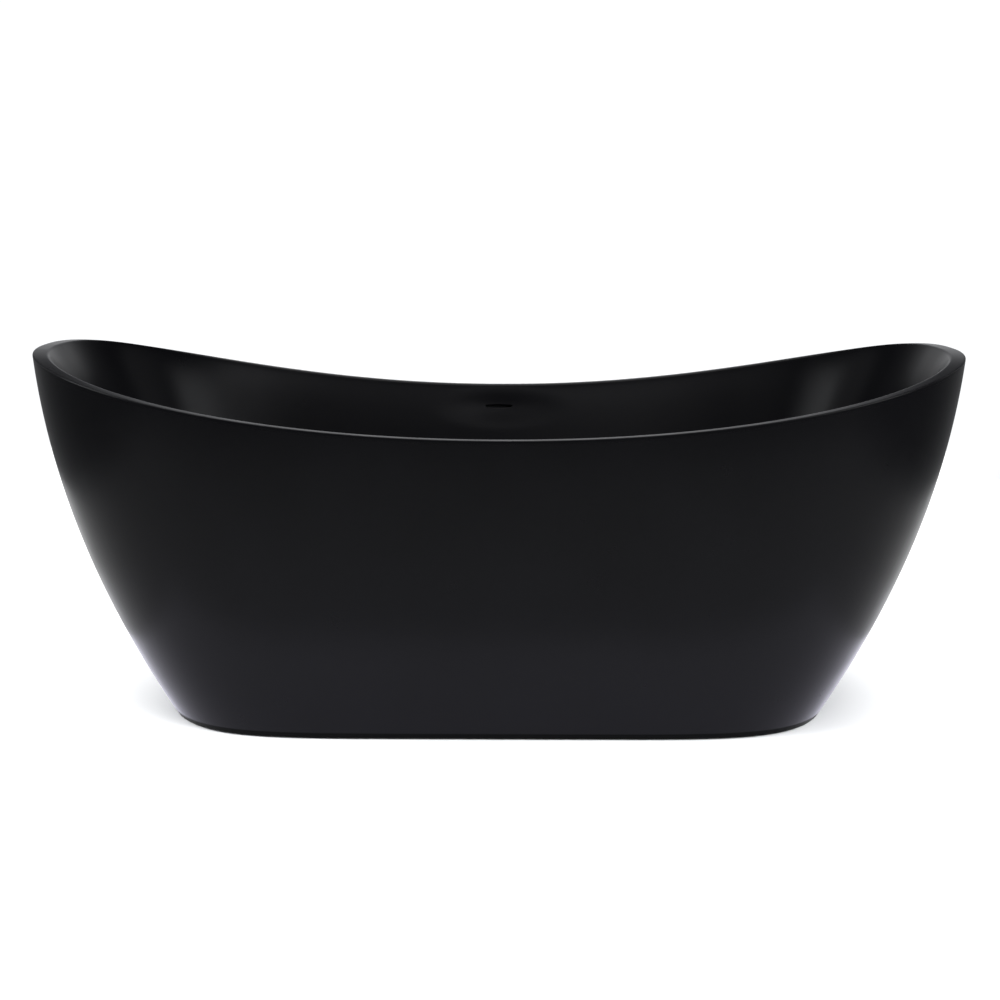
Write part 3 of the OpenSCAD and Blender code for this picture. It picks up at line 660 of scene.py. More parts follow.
def build_basin():
    front = rim_section()
    first_wall = len(front)
    front += wall_section()
    bend_start = first_wall + WALL_ROWS
    floor = [floor_ring(PHI, RIMS, t) for t in (0.85, 0.7, 0.55, 0.4, 0.25, 0.12, 0.04, 0.0)]
    seat = [circle_ring(PHI, r, z) for r, z in (
        (39.2, FLOOR_H - 0.5), (38.6, FLOOR_H - 2), (38.1, SEAT_Z + 0.5), (37.2, SEAT_Z),
        (HOLE_R + 0.6, SEAT_Z), (HOLE_R, SEAT_Z - 0.6), (HOLE_R, BACK_Z))]
    under = front[first_wall:]
    count = len(under)
    thickness = []
    for j in range(count):
        t = 1.0 if j < WALL_ROWS else 1 - (j - WALL_ROWS + 1) / BEND_ROWS
        thickness.append(SKIN + FLOOR_EXTRA * (1 - t) ** 3)
    back = back_rings(under, thickness)
    flat = floor_ring(PHI, RIMS, 1.0)
    flat[:, 2] = BACK_Z
    inner_under = inset_ring(PHI, RIMS - SKIN, rim_width(PHI, RIMS) - SKIN)
    # The two back rings nearest the rim are left out, where the flange takes over
    closing = [flat] + back[::-1][:-2] + [inner_under]
    rings = front + floor + seat + closing
    faces = grid_faces(len(rings), COLUMNS, closed_rows=True)
    verts = np.concatenate(rings)

    # Slot through the overflow wall: a patch of quads replaces part of the grid on each face
    k_mid = COLUMNS // 4
    k0, k1 = k_mid - SLOT_PATCH_COLUMNS, k_mid + SLOT_PATCH_COLUMNS
    ring_z = [r[k_mid][2] for r in rings]

    rows = [j for j in range(first_wall, bend_start) if abs(ring_z[j] - SLOT_Z) < SLOT_PATCH]
    f0, f1 = rows[0], rows[-1]
    # The back's rings come in the opposite order, and each belongs to one ring of the front
    back_last = len(front) + len(floor) + len(seat) + 1 + len(back) + first_wall
    b0, b1 = back_last - f1, back_last - f0
    patches = Builder()
    patches.verts = [tuple(v) for v in verts]
    kept = []
    for n, quad in enumerate(faces):
        j, k = divmod(n, COLUMNS)
        inside = k0 <= k < k1 and (f0 <= j < f1 or b0 <= j < b1)
        if not inside:
            kept.append(quad)
    patches.faces = kept

    def boundary(j0, j1):
        loop = [(j0, k) for k in range(k0, k1)]
        loop += [(j, k1) for j in range(j0, j1)]
        loop += [(j1, k) for k in range(k1, k0, -1)]
        loop += [(j, k0) for j in range(j1, j0, -1)]
        return [j * COLUMNS + k for j, k in loop]

    def local(points):
        return np.stack([points[:, 0], points[:, 2] - SLOT_Z], axis=1)

    def patch(j0, j1, is_back):
        loop = boundary(j0, j1)
        rim = verts[loop]
        flat_rim = local(rim)
        goals = [slot_points(flat_rim, g) for g in (SLOT_ROLL, 0.45, 0.0)]
        rows = []
        for t in (0.3, 0.58, 0.8, 0.93):
            rows.append((mix(flat_rim, goals[0], t), 0.0))
        rows.append((goals[0], 0.0))
        rows.append((goals[1], 0.45))
        rows.append((goals[2], SLOT_ROLL))
        made = []
        for xz, sink in rows:
            y, dx, dz = wall_depth(xz[:, 0], xz[:, 1] + SLOT_Z)
            size = np.sqrt(1 + dx * dx + dz * dz)
            depth = (SKIN - sink) if is_back else sink
            pts = np.stack([xz[:, 0], y, xz[:, 1] + SLOT_Z], axis=1)
            # The depth is measured square to the wall, while x and z stay those of the outline
            pts[:, 1] += depth * size
            made.append(pts)
        ids = [loop]
        for pts in made:
            start = len(patches.verts)
            patches.verts.extend([tuple(v) for v in pts])
            ids.append(list(range(start, start + len(loop))))
        for a, b in zip(ids, ids[1:]):
            m = len(a)
            for i in range(m):
                i2 = (i + 1) % m
                patches.faces.append((a[i], a[i2], b[i2], b[i]))
        return ids[-1]

    front_hole = patch(f0, f1, False)
    back_hole = patch(b0, b1, True)
    # The back's loop runs the other way round, so it is matched point by point
    pts = np.array(patches.verts)
    a, b = pts[front_hole], pts[back_hole]
    m = len(front_hole)
    shift, flip = min(
        ((start, way) for start in range(m) for way in (1, -1)),
        key=lambda turn: sum(
            np.hypot(*(a[i] - b[(turn[0] + turn[1] * i) % m])[[0, 2]]) for i in range(0, m, 3)
        ),
    )
    for i in range(m):
        i2 = (i + 1) % m
        j, j2 = (shift + flip * i) % m, (shift + flip * i2) % m
        patches.faces.append((front_hole[i], front_hole[i2], back_hole[j2], back_hole[j]))
    out = clip_to_frame(np.array(patches.verts))
    return make_piece(
        "basin_sheet", out, patches.faces, finishes["acrylic_black"], "tub",
        ["basin"], sharp=50,
    )


def build_shell():
    low, top = 2.0, RIMS - SKIN - GLUE_GAP
    rings = []
    for r, z in ((SHELL + 11, 7.0), (SHELL + 11, 2.6), (SHELL + 10.4, low)):
        rings.append(inset_ring(PHI, z, r))
    for inset, z in corner_curve((2.0, low), (0, low), (0, low + 2.0), 5):
        rings.append(inset_ring(PHI, z, inset))
    rows = 72
    for j in range(1, rows + 1):
        rings.append(inset_ring(PHI, mix(low + 2.0, top, j / rows), 0))
    rings.append(inset_ring(PHI, top, SHELL))
    for j in range(1, 24):
        rings.append(inset_ring(PHI, mix(top, 12.0, j / 23), SHELL))
    rings.append(inset_ring(PHI, 8.0, SHELL + 1))
    rings.append(inset_ring(PHI, 7.0, SHELL + 2.5))
    faces = grid_faces(len(rings), COLUMNS, closed_rows=True)
    return make_piece(
        "outer_shell_sheet", clip_to_frame(np.concatenate(rings)), faces,
        finishes["shell_black"], "tub", ["outer_shell"], sharp=50,
    )


build_basin()
build_shell()


# ---------------------------------------------------------------------------
# Shapes that several pieces share
# ---------------------------------------------------------------------------
def angles(segments):
    return np.arange(segments) * 2 * math.pi / segments


def ring_points(radius, z, segments=64):
    a = angles(segments)
    radius, z = np.broadcast_to(radius, a.shape), np.broadcast_to(z, a.shape)
    return np.stack([radius * np.cos(a), radius * np.sin(a), z], axis=1)


def hex_radius(a, corner_r):
    """Distance to a hexagon's edge in the direction a, with a corner at 0."""
    sixth = math.pi / 3
    return corner_r * math.cos(sixth / 2) / np.cos(a % sixth - sixth / 2)


def hex_nut(builder, x, y, low, high, corner_r, bore_r):
    """Hexagon nut with its corners chamfered at both faces."""
    segments = 72
    edge = hex_radius(angles(segments), corner_r)
    across = corner_r * math.cos(math.pi / 6)
    drop = (edge - across) * 0.58 + 0.1
    builder.rings([ring_points(r, z, segments) for r, z in (
        (bore_r, low + 0.8), (bore_r + 0.8, low), (across - 0.4, low), (edge, low + drop),
        (edge, high - drop), (across - 0.4, high), (bore_r + 0.8, high), (bore_r, high - 0.8),
    )], closed=True, centre=(x, y, 0))


def thread_rings(outer_r, depth, pitch, low, high, segments=32, per_pitch=5):
    """Rings of a screw thread that fades out at both ends."""
    a = angles(segments)
    rows = int(round((high - low) / pitch * per_pitch))
    out = []
    for j in range(rows + 1):
        z = low + (high - low) * j / rows
        phase = (z / pitch - a / (2 * math.pi)) % 1
        crest = np.clip(1.25 - 1.25 * np.abs(2 * phase - 1), 0, 1)
        fade = min(1.0, (z - low) / pitch, (high - z) / pitch)
        out.append(ring_points(outer_r - depth * (1 - crest * max(fade, 0)), z, segments))
    return out


def pan_screw(builder, x, y, seat_z, length, up=1):
    """Pan-head screw with a hexagon socket; its thread runs from seat_z in the direction up."""
    head_r, head_h, key_r, key_depth, shank_r = SCREW_HEAD_R, SCREW_HEAD_H, 1.8, 1.4, 1.95
    segments = 36
    key = hex_radius(angles(segments), key_r)
    turn = np.diag([1.0, up, up])
    centre = (x, y, seat_z)
    head = [ring_points(r, z, segments) for r, z in (
        (0.01, -head_h + key_depth), (key, -head_h + key_depth), (key, -head_h + 0.1), (key + 0.25, -head_h),
        (2.9, -head_h), (3.5, -2.25), (3.85, -1.7), (head_r, -1.0), (head_r, -0.3), (3.8, -0.05),
        (shank_r, 0.0), (0.01, 0.0))]
    builder.rings(head, turn=turn, centre=centre)
    builder.rings(thread_rings(shank_r, 0.35, 1.6, -0.2, length - 2, 18, 4), turn=turn, centre=centre)
    tip = [ring_points(r, z, 18) for r, z in ((1.6, length - 2), (0.9, length - 0.7), (0.05, length))]
    builder.rings(tip, turn=turn, centre=centre)


def rounded_washer(builder, low, high, outer_r, inner_r, edge=0.5, segments=96):
    builder.lathe(rounded_profile(
        [(inner_r, low), (outer_r, low), (outer_r, high), (inner_r, high)], edge, 3), segments)


def finish_piece(builder, name, body, slot, *nodes, sharp=32.0):
    return make_piece(name, builder.verts, builder.faces, finishes[slot], body, nodes, sharp)


def boxes_around(builder, count, low, high, edge, first=0, centre=(0, 0, 0)):
    """Copies of a chamfered box, spaced evenly about the upright axis."""
    for k in range(count):
        a = (k + first) * 2 * math.pi / count
        c, s = math.cos(a), math.sin(a)
        builder.box(low, high, edge, [[c, -s, 0], [s, c, 0], [0, 0, 1]], centre)


def threaded_sleeve(builder, radius, bore, depth, pitch, low, high, segments, per_pitch=5):
    """Wall of a tube with a thread on the outside."""
    rings = thread_rings(radius, depth, pitch, low, high, segments, per_pitch)
    rings += [ring_points(bore, z, segments) for z in (high, low)]
    builder.rings(rings, closed=True)


def z_range(node):
    low, high = box_mm(node)
    return low[2], high[2]


def radius_of(node):
    low, high = box_mm(node)
    return (high[0] - low[0]) / 2


# ---------------------------------------------------------------------------
# Frame: weld beads, nuts and screws
# ---------------------------------------------------------------------------
rail_low, rail_high = box_mm("rail_front")
TUBE = rail_high[1] - rail_low[1]
RAIL_Y = -(rail_low[1] + rail_high[1]) / 2
RAIL_END = rail_high[0]


def weld_bead(builder, start, end, seed):
    """Rippled fillet of weld metal between two points."""
    rng = np.random.default_rng(seed)
    count = 60
    t = np.linspace(0, 1, count)
    path = np.array(start) + (np.array(end) - np.array(start)) * t[:, None]
    wave = np.abs(np.sin(t * math.pi * 10))
    path[:, :2] += rng.normal(0, 0.12, (count, 2))
    radii = 2.1 + 0.5 * wave + rng.normal(0, 0.06, count)
    radii *= np.clip(np.minimum(t, 1 - t) * 12 + 0.35, 0, 1)
    builder.tube(path, radii, 14)


beads = Builder()
for side in (-1, 1):
    for end in (-1, 1):
        for face in (-1, 1):
            x, y = side * (RAIL_END - 0.6), end * RAIL_Y + face * (TUBE / 2 + 0.6)
            seed = 7 + 4 * side + 2 * end + face
            weld_bead(beads, (x, y, rail_low[2] + 2.5), (x, y, rail_high[2] - 3.0), seed)
finish_piece(beads, "frame_weld_beads", "tub", "galvanised_steel")

NUT_CORNER = 9.8
feet_xy = []
for i in range(1, 5):
    low, high = box_mm(f"foot_stud_{i}")
    feet_xy.append(tuple((low[:2] + high[:2]) / 2))
for node, name in (("weld_nuts", "weld_nut_set"), ("foot_lock_nuts", "lock_nut_set")):
    nuts = Builder()
    low_z, high_z = z_range(node)
    for x, y in feet_xy:
        hex_nut(nuts, x, y, low_z, high_z, NUT_CORNER, 5.06)
    finish_piece(nuts, name, "tub", "zinc_steel", node)

screws = Builder()
screw_low, screw_high = box_mm("board_screws")
for x in (-340, -120, 120, 340):
    for y in (-RAIL_Y, RAIL_Y):
        pan_screw(screws, x, y, screw_low[2] + SCREW_HEAD_H, screw_high[2] - screw_low[2] - SCREW_HEAD_H)
finish_piece(screws, "board_screw_set", "tub", "zinc_steel", "board_screws")

screws = Builder()
screw_low, screw_high = box_mm("bracket_screws")
cross_x = (box_mm("cross_member_right")[0][0] + box_mm("cross_member_right")[1][0]) / 2
TUBE_SCREW_Y, TUBE_SCREW_L, BLOCK_SCREW_L = 135.0, 10.0, 16.0
block_screw_y = screw_high[1] - SCREW_HEAD_R
block_seat_z = screw_high[2] - SCREW_HEAD_H
for side in (-1, 1):
    for end in (-1, 1):
        pan_screw(screws, side * cross_x, end * TUBE_SCREW_Y, block_seat_z, TUBE_SCREW_L, up=-1)
        pan_screw(screws, side * cross_x, end * block_screw_y, block_seat_z, BLOCK_SCREW_L, up=-1)
finish_piece(screws, "bracket_screw_set", "tub", "zinc_steel", "bracket_screws")

# ---------------------------------------------------------------------------
# Feet: threaded studs and ribbed pads
# ---------------------------------------------------------------------------
STUD_R = 5.0
THREAD_PITCH = 1.5
for i, (x, y) in enumerate(feet_xy, 1):
    low_z, high_z = z_range(f"foot_stud_{i}")
    stud = Builder()
    here = (x, y, 0)
    stud.lathe(rounded_profile(
        [(0.01, low_z), (8.0, low_z), (8.0, low_z + 6), (0.01, low_z + 6)], (0, 0.8, 0.8, 0), 3), 48, here)
    rod = thread_rings(STUD_R, 0.75, THREAD_PITCH, low_z + 16.5, high_z - 1.5)
    rod = [ring_points(4.25, low_z + 5, 32)] + rod + [ring_points(3.4, high_z, 32)]
    stud.rings(rod, centre=here)
    hex_nut(stud, x, y, low_z + 10, low_z + 17, NUT_CORNER, 4.0)
    finish_piece(stud, f"foot_stud_rod_{i}", f"stud_{i}", "zinc_steel", f"foot_stud_{i}")

    pad = Builder()
    pad_r = radius_of(f"foot_pad_{i}")
    pad_high = z_range(f"foot_pad_{i}")[1]
    pad.lathe(rounded_profile([
        (0.01, 1.2), (6, 1.2), (6, 0), (9, 0), (9, 1.2), (14, 1.2), (14, 0), (17, 0), (17, 1.2), (20.5, 1.2),
        (20.5, 0), (pad_r - 1.2, 0), (pad_r, 1.4), (pad_r, 5.6), (pad_r - 3, 8), (12.8, 8.4), (11, 10.6),
        (11, pad_high), (5.3, pad_high), (5.3, 16.3), (8.3, 16.3), (8.3, 9.7), (0.01, 9.7),
    ], [0] + [0.5] * 21 + [0], 3), 96, here)
    boxes_around(pad, 8, (10.4, -1.1, 7), (20.8, 1.1, 10.8), 0.5, centre=here)
    finish_piece(pad, f"foot_pad_disc_{i}", f"foot_{i}", "foot_plastic", f"foot_pad_{i}")

# ---------------------------------------------------------------------------
# Waste: flange, pop-up plug, tee and tailpiece
# ---------------------------------------------------------------------------
flange_low, flange_high = z_range("drain_flange")
FLANGE_R = radius_of("drain_flange")
PLATE = 3.0
TAIL_R, TAIL_BORE = 22.5, 20.0
HUB_LOW, HUB_H, HUB_R, HUB_BORE = 122.0, 8.0, 9.0, 6.56
plate_low = flange_high - PLATE
flange = Builder()
flange.lathe(rounded_profile([
    (TAIL_BORE, flange_low), (TAIL_R - 0.45, flange_low), (TAIL_R - 0.45, plate_low), (FLANGE_R, plate_low),
    (FLANGE_R, flange_high - 1.4), (FLANGE_R - 2.4, flange_high), (TAIL_BORE + 2.4, flange_high),
    (TAIL_BORE, flange_high - 2.2),
], [0.4, 0.5, 0.4, 0.6, 0.9, 1.2, 1.4, 0.9], 5), 128)
threaded_sleeve(flange, TAIL_R, 21.2, 0.55, 1.6, flange_low + 0.6, plate_low - 0.6, 96)
hub_top = HUB_LOW + HUB_H
rounded_washer(flange, HUB_LOW, hub_top, HUB_R, HUB_BORE, 0.8)
boxes_around(flange, 3, (HUB_R - 0.6, -1.5, HUB_LOW), (TAIL_BORE + 0.5, 1.5, hub_top), 0.6)
finish_piece(flange, "drain_flange_turned", "tub", "black_brass", "drain_flange")

for node, name, inner_r in (
    ("drain_gasket", "drain_gasket_ring", 25.0), ("drain_washer", "drain_washer_ring", 22.8),
):
    seal = Builder()
    rounded_washer(seal, *z_range(node), radius_of(node), inner_r, 0.6)
    finish_piece(seal, name, "tub", "black_rubber", node)

nut_low, nut_high = z_range("drain_lock_nut")
nut = Builder()
NUT_R, NUT_BODY = 31.0, 8.0
rounded_washer(nut, nut_low, nut_low + NUT_BODY + 0.5, NUT_R, TAIL_R + BORE_GAP, 0.8)
rounded_washer(nut, nut_low + NUT_BODY, nut_high, NUT_R + 3, TAIL_R + BORE_GAP, 0.7)
boxes_around(nut, 6, (NUT_R - 2, -4, nut_low + 0.2), (NUT_R + 2, 4, nut_low + NUT_BODY + 0.4), 0.9)
finish_piece(nut, "drain_lock_nut_cast", "tub", "raw_brass", "drain_lock_nut")

cart_low, cart_high = z_range("popup_cartridge")
STEM_R = 3.0
cartridge = Builder()
cartridge.lathe(rounded_profile([
    (STEM_R + BORE_GAP, cart_low), (6.0, cart_low), (6.4, cart_low + 1), (6.4, hub_top), (8.5, hub_top),
    (8.5, hub_top + 3), (4.8, hub_top + 3), (4.8, cart_high), (STEM_R + BORE_GAP, cart_high),
], 0.35, 3), 72)
threaded_sleeve(cartridge, 6.5, 5.6, 0.4, 1.0, cart_low + 1, HUB_LOW - 0.5, 48)
finish_piece(cartridge, "popup_cartridge_turned", "tub", "raw_brass", "popup_cartridge")

stem_low, stem_high = z_range("popup_stem")
stem = Builder()
stem.lathe(rounded_profile([
    (0.01, stem_low), (4.5, stem_low), (4.5, stem_low + 2), (STEM_R, stem_low + 2),
    (STEM_R, stem_low + 13), (2.6, stem_low + 13.4), (2.6, stem_low + 15), (STEM_R, stem_low + 15.4),
    (STEM_R, stem_high), (0.01, stem_high),
], [0, 0.5, 0.5, 0.4, 0.2, 0.2, 0.2, 0.2, 0.3, 0], 3), 48)
finish_piece(stem, "popup_stem_turned", "popup", "raw_brass", "popup_stem")

cap_low, cap_high = z_range("popup_cap")
CAP_R = radius_of("popup_cap")
CAP_HUB_H = 4.0
CAP_EDGE_H = 4.0
cap_plate = cap_low + CAP_HUB_H
dome = cap_high - cap_plate - CAP_EDGE_H
cap = Builder()
profile = [(STEM_R + BORE_GAP, cap_low), (9, cap_low), (9, cap_plate), (CAP_R - 0.4, cap_plate),
           (CAP_R, cap_plate + 0.4), (CAP_R, cap_plate + CAP_EDGE_H - 1.2)]
profile += corner_curve((CAP_R, cap_plate + CAP_EDGE_H - 1.2), (CAP_R, cap_plate + CAP_EDGE_H),
                        (CAP_R - 1.6, cap_plate + CAP_EDGE_H + 0.05), 6)[1:]
for t in np.linspace(0.93, 0.0, 16):
    profile.append((max(CAP_R * t, 0.01), cap_plate + CAP_EDGE_H + dome * (1 - t * t) * 0.99))
profile += [(0.01, cap_plate + 0.3), (STEM_R + BORE_GAP, cap_plate + 0.3)]
cap.lathe(profile, 128)
finish_piece(cap, "popup_cap_dome", "popup", "black_brass", "popup_cap")

seal_low, seal_high = z_range("popup_seal")
seal_r = radius_of("popup_seal")
seal = Builder()
seal.lathe(rounded_profile([
    (seal_r - 6, seal_low + 0.5), (seal_r - 1.4, seal_low), (seal_r, seal_low + 0.5), (seal_r, seal_high),
    (seal_r - 6, seal_high),
], 0.45, 4), 96)
finish_piece(seal, "popup_seal_ring", "popup", "black_rubber", "popup_seal")

tee_low, tee_high = z_range("waste_tee")
TEE_R, NECK_R, NECK_BORE, TEE_BORE, TAIL_STOP = 27.0, 24.0, 20.5, 19.2, 94.8
BODY_LOW, PORT_Z, PORT_ROOT, BARB_END, BARB_R = 88.0, 74.0, 22.0, 66.0, 10.9
tee = Builder()
tee.lathe(rounded_profile([
    (NECK_BORE, tee_low), (NECK_R, tee_low), (NECK_R, BODY_LOW - 2), (TEE_R, BODY_LOW + 1),
    (TEE_R, tee_high - 4), (TEE_R - 1.2, tee_high - 3), (TEE_R - 1.2, tee_high),
    (TAIL_R + BORE_GAP, tee_high), (TAIL_R + BORE_GAP, TAIL_STOP), (TEE_BORE, TAIL_STOP),
    (TEE_BORE, tee_low + 10), (NECK_BORE, tee_low + 10),
], [0.5, 0.7, 2.0, 2.0, 0.6, 0.6, 0.7, 0.4, 0.3, 0.6, 0.6, 0.3], 4), 96)
threaded_sleeve(tee, NECK_R, 22, 0.6, 3.0, tee_low + 0.5, tee_low + 12, 72, 6)
boxes_around(tee, 12, (TEE_R - 1, -0.9, BODY_LOW + 4), (TEE_R + 0.9, 0.9, tee_high - 5), 0.4, 0.5)
ALONG_Y = [[1, 0, 0], [0, 0, 1], [0, -1, 0]]
barb = [(8.5, PORT_ROOT - 1), (14, PORT_ROOT - 1), (14, PORT_ROOT + 10), (9.8, PORT_ROOT + 10)]
for start in (36, 44, 52):
    barb += [(9.8, start), (BARB_R, start + 0.3), (9.8, start + 6)]
barb += [(9.6, BARB_END), (8.5, BARB_END)]
tee.lathe(rounded_profile(barb, 0.5, 3), 72, (0, 0, PORT_Z), turn=ALONG_Y)
finish_piece(tee, "waste_tee_moulded", "tub", "waste_plastic", "waste_tee")

tail_low, tail_high = z_range("waste_tailpiece")
tail_r = radius_of("waste_tailpiece")
tail = Builder()
tail.lathe(rounded_profile([
    (tail_r - 2, tail_low), (tail_r, tail_low), (tail_r, 43), (tail_r - 0.2, 43.2), (tail_r - 0.2, tail_high),
    (tail_r - 2, tail_high),
], [0.6, 0.8, 0.1, 0.1, 0.5, 0.5], 4), 96)
finish_piece(tail, "tailpiece_tube", "tub", "waste_plastic", "waste_tailpiece")

slip_low, slip_high = z_range("tailpiece_nut")
SLIP_R = 28.0
slip = Builder()
slip.lathe(rounded_profile([
    (tail_r + 0.4, slip_low), (SLIP_R - 1, slip_low), (SLIP_R, slip_low + 1.5), (SLIP_R, slip_high - 1.5),
    (SLIP_R - 1, slip_high), (NECK_R + BORE_GAP, slip_high), (NECK_R + BORE_GAP, tee_low - 4),
    (tail_r + 0.4, tee_low - 4),
], 0.7, 4), 96)
boxes_around(slip, 8, (SLIP_R - 1.5, -2, slip_low + 0.3), (SLIP_R + 2.5, 2, slip_high - 2), 0.9)
finish_piece(slip, "tailpiece_nut_moulded", "tub", "waste_plastic", "tailpiece_nut")

washer = Builder()
rounded_washer(washer, *z_range("tailpiece_washer"), radius_of("tailpiece_washer"), tail_r + 0.02, 0.7)
finish_piece(washer, "tailpiece_washer_ring", "tub", "black_rubber", "tailpiece_washer")

# ---------------------------------------------------------------------------
# Overflow: ribs on the box, corrugated hose and its clamps
# ---------------------------------------------------------------------------
HOSE_R, HOSE_TILT, HOSE_BEND, HOSE_TOP_Z, HOSE_START = 14.0, math.radians(12.5), 80.0, 445.0, 34.0
CUFF, CORRUGATION = 27.0, 6.0
mid = np.array([math.pi / 2])


def wall_y(z):
    return wall_ring(mid, MID_RIM, z)[0, 1]


def shell_y(z):
    return outer_xy(mid, z)[1][0] - SHELL * 1.06


hose_top_y = (wall_y(HOSE_TOP_Z) + SKIN + shell_y(HOSE_TOP_Z)) / 2
arc_end_z = PORT_Z + HOSE_BEND - HOSE_BEND * math.sin(HOSE_TILT)
bend_y = hose_top_y - math.tan(HOSE_TILT) * (HOSE_TOP_Z - arc_end_z) - HOSE_BEND * math.cos(HOSE_TILT)
route = [(y, PORT_Z) for y in np.arange(HOSE_START, bend_y, 1.0)]
arc = math.pi / 2 - HOSE_TILT
for t in np.linspace(0, 1, int(HOSE_BEND * arc)):
    route.append((bend_y + HOSE_BEND * math.sin(arc * t), PORT_Z + HOSE_BEND * (1 - math.cos(arc * t))))
last = np.array(route[-1])
top = np.array([hose_top_y, HOSE_TOP_Z])
steps = int(np.linalg.norm(top - last))
route += [tuple(last + (top - last) * (j + 1) / steps) for j in range(steps)]
route = np.array([(0, y, z) for y, z in route])
along = np.concatenate([[0], np.cumsum(np.linalg.norm(np.diff(route, axis=0), axis=1))])
inside = np.clip(np.minimum(along - CUFF, along[-1] - CUFF - along) / 3, 0, 1)
ripple = 1.1 * (1 - np.cos(2 * math.pi * along / CORRUGATION)) / 2
hose = Builder()
hose.tube(route, HOSE_R - 0.15 - inside * (ripple + 0.1), 32)
finish_piece(hose, "overflow_hose_corrugated", "tub", "hose_plastic", "overflow_hose", sharp=60.0)

CLAMP_W = 9.0


def hose_clamp(name, node, turn, centre):
    """Worm-drive band: slotted strap, screw housing and a hexagon screw."""
    clamp = Builder()
    count = 120
    a = angles(count)
    slots = np.where((a * count / (2 * math.pi)) % 3 < 1, 0.5, 0.0)
    inner, outer = HOSE_R + 0.05, HOSE_R + 1.1
    clamp.rings([ring_points(r, z, count) for r, z in (
        (inner, 0.3), (inner + 0.4, 0), (outer, 0.2), (outer, 2.2), (outer - slots, 2.4),
        (outer - slots, CLAMP_W - 2.4), (outer, CLAMP_W - 2.2), (outer, CLAMP_W - 0.2),
        (inner + 0.4, CLAMP_W), (inner, CLAMP_W - 0.3),
    )], closed=True, turn=turn, centre=centre)
    clamp.box((-4.2, HOSE_R + 0.2, 0.6), (4.2, HOSE_R + 5.6, CLAMP_W - 0.6), 1.1, turn, centre)
    to_x = np.array(turn, float) @ np.array([[0, 0, 1], [0, 1, 0], [-1, 0, 0]], float)
    screw_at = np.array(centre) + np.array(turn, float) @ np.array([0, HOSE_R + 3, CLAMP_W / 2])
    edge = hex_radius(angles(48), 2.7)
    clamp.rings([ring_points(r, z, 48) for r, z in (
        (1.6, -5.2), (1.6, 4.0), (edge - 0.3, 4.2), (edge, 4.6), (edge, 4.9), (edge - 0.4, 5.0),
    )], turn=to_x, centre=screw_at)
    finish_piece(clamp, name, "tub", "zinc_steel", node)


tilt_c, tilt_s = math.cos(HOSE_TILT), math.sin(HOSE_TILT)
lean = np.array([[1, 0, 0], [0, tilt_c, tilt_s], [0, -tilt_s, tilt_c]])
quarter = np.array([[0, -1, 0], [1, 0, 0], [0, 0, 1]])
CLAMP_DOWN = 16.0
top_place = np.array([0, hose_top_y, HOSE_TOP_Z]) + lean @ np.array([0, 0, -CLAMP_DOWN])
hose_clamp("hose_clamp_band_top", "hose_clamp_top", lean @ quarter, top_place)
hose_clamp("hose_clamp_band_bottom", "hose_clamp_bottom", ALONG_Y, (0, HOSE_START + 8, PORT_Z))

box_low, box_high = box_mm("overflow_box")
ribs = Builder()
for k in range(7):
    x = mix(box_low[0] + 8, box_high[0] - 8, k / 6)
    if abs(x) < 17:
        continue
    start, end = np.array([x, 0, SLOT_Z - 44]), np.array([x, 0, SLOT_Z + 8])
    start[1], end[1] = shell_y(start[2]) - 1.5, shell_y(end[2]) - 1.5
    ribs.tube([start, start * 0.67 + end * 0.33, start * 0.33 + end * 0.67, end], [0.8] * 4, 10)
finish_piece(ribs, "overflow_box_ribs", "tub", "waste_plastic")

# ---------------------------------------------------------------------------
# Bond between the shell and the basin: a hand-laid bead
# ---------------------------------------------------------------------------
bond_rings = []
BOND_NEAR, BOND_W, BOND_H = SHELL + 0.6, 7.0, 12.0
rng = np.random.default_rng(3)
waves = sum(rng.uniform(0.05, 0.22) * np.sin(PHI * n + rng.uniform(0, 6.28)) for n in (9, 17, 31, 53, 88))
BOND_OUTLINE = (
    (0, 0.02), (0.5, 0.0), (0.97, 0.02), (0.94, 0.3), (0.78, 0.6), (0.5, 0.88), (0.2, 0.99), (0.0, 0.94),
)
for share_in, share_down in BOND_OUTLINE:
    inset = BOND_NEAR + BOND_W * share_in - (0.4 + waves) * (1.0 if 0.05 < share_down < 0.95 else 0.0)
    top_z = RIMS - SKIN - GLUE_GAP
    down = BOND_H * share_down + np.where(share_down > 0.5, waves * 1.5 - 0.8, 0.1)
    x, y = outer_xy(PHI, top_z - down)
    nx, ny = outer_normal(PHI, top_z - down)
    inset = np.maximum(inset, BOND_NEAR)
    bond_rings.append(np.stack([x - inset * nx, y - inset * ny, top_z - down], axis=1))
bond = Builder()
bond.rings(bond_rings, closed=True)
finish_piece(bond, "rim_bond_bead", "tub", "adhesive", "rim_bond", sharp=60.0)


# ---------------------------------------------------------------------------
# Stage, light and camera
# ---------------------------------------------------------------------------
scene = bpy.context.scene
scene.view_settings.view_transform = "Standard"
scene.view_settings.look = "None"

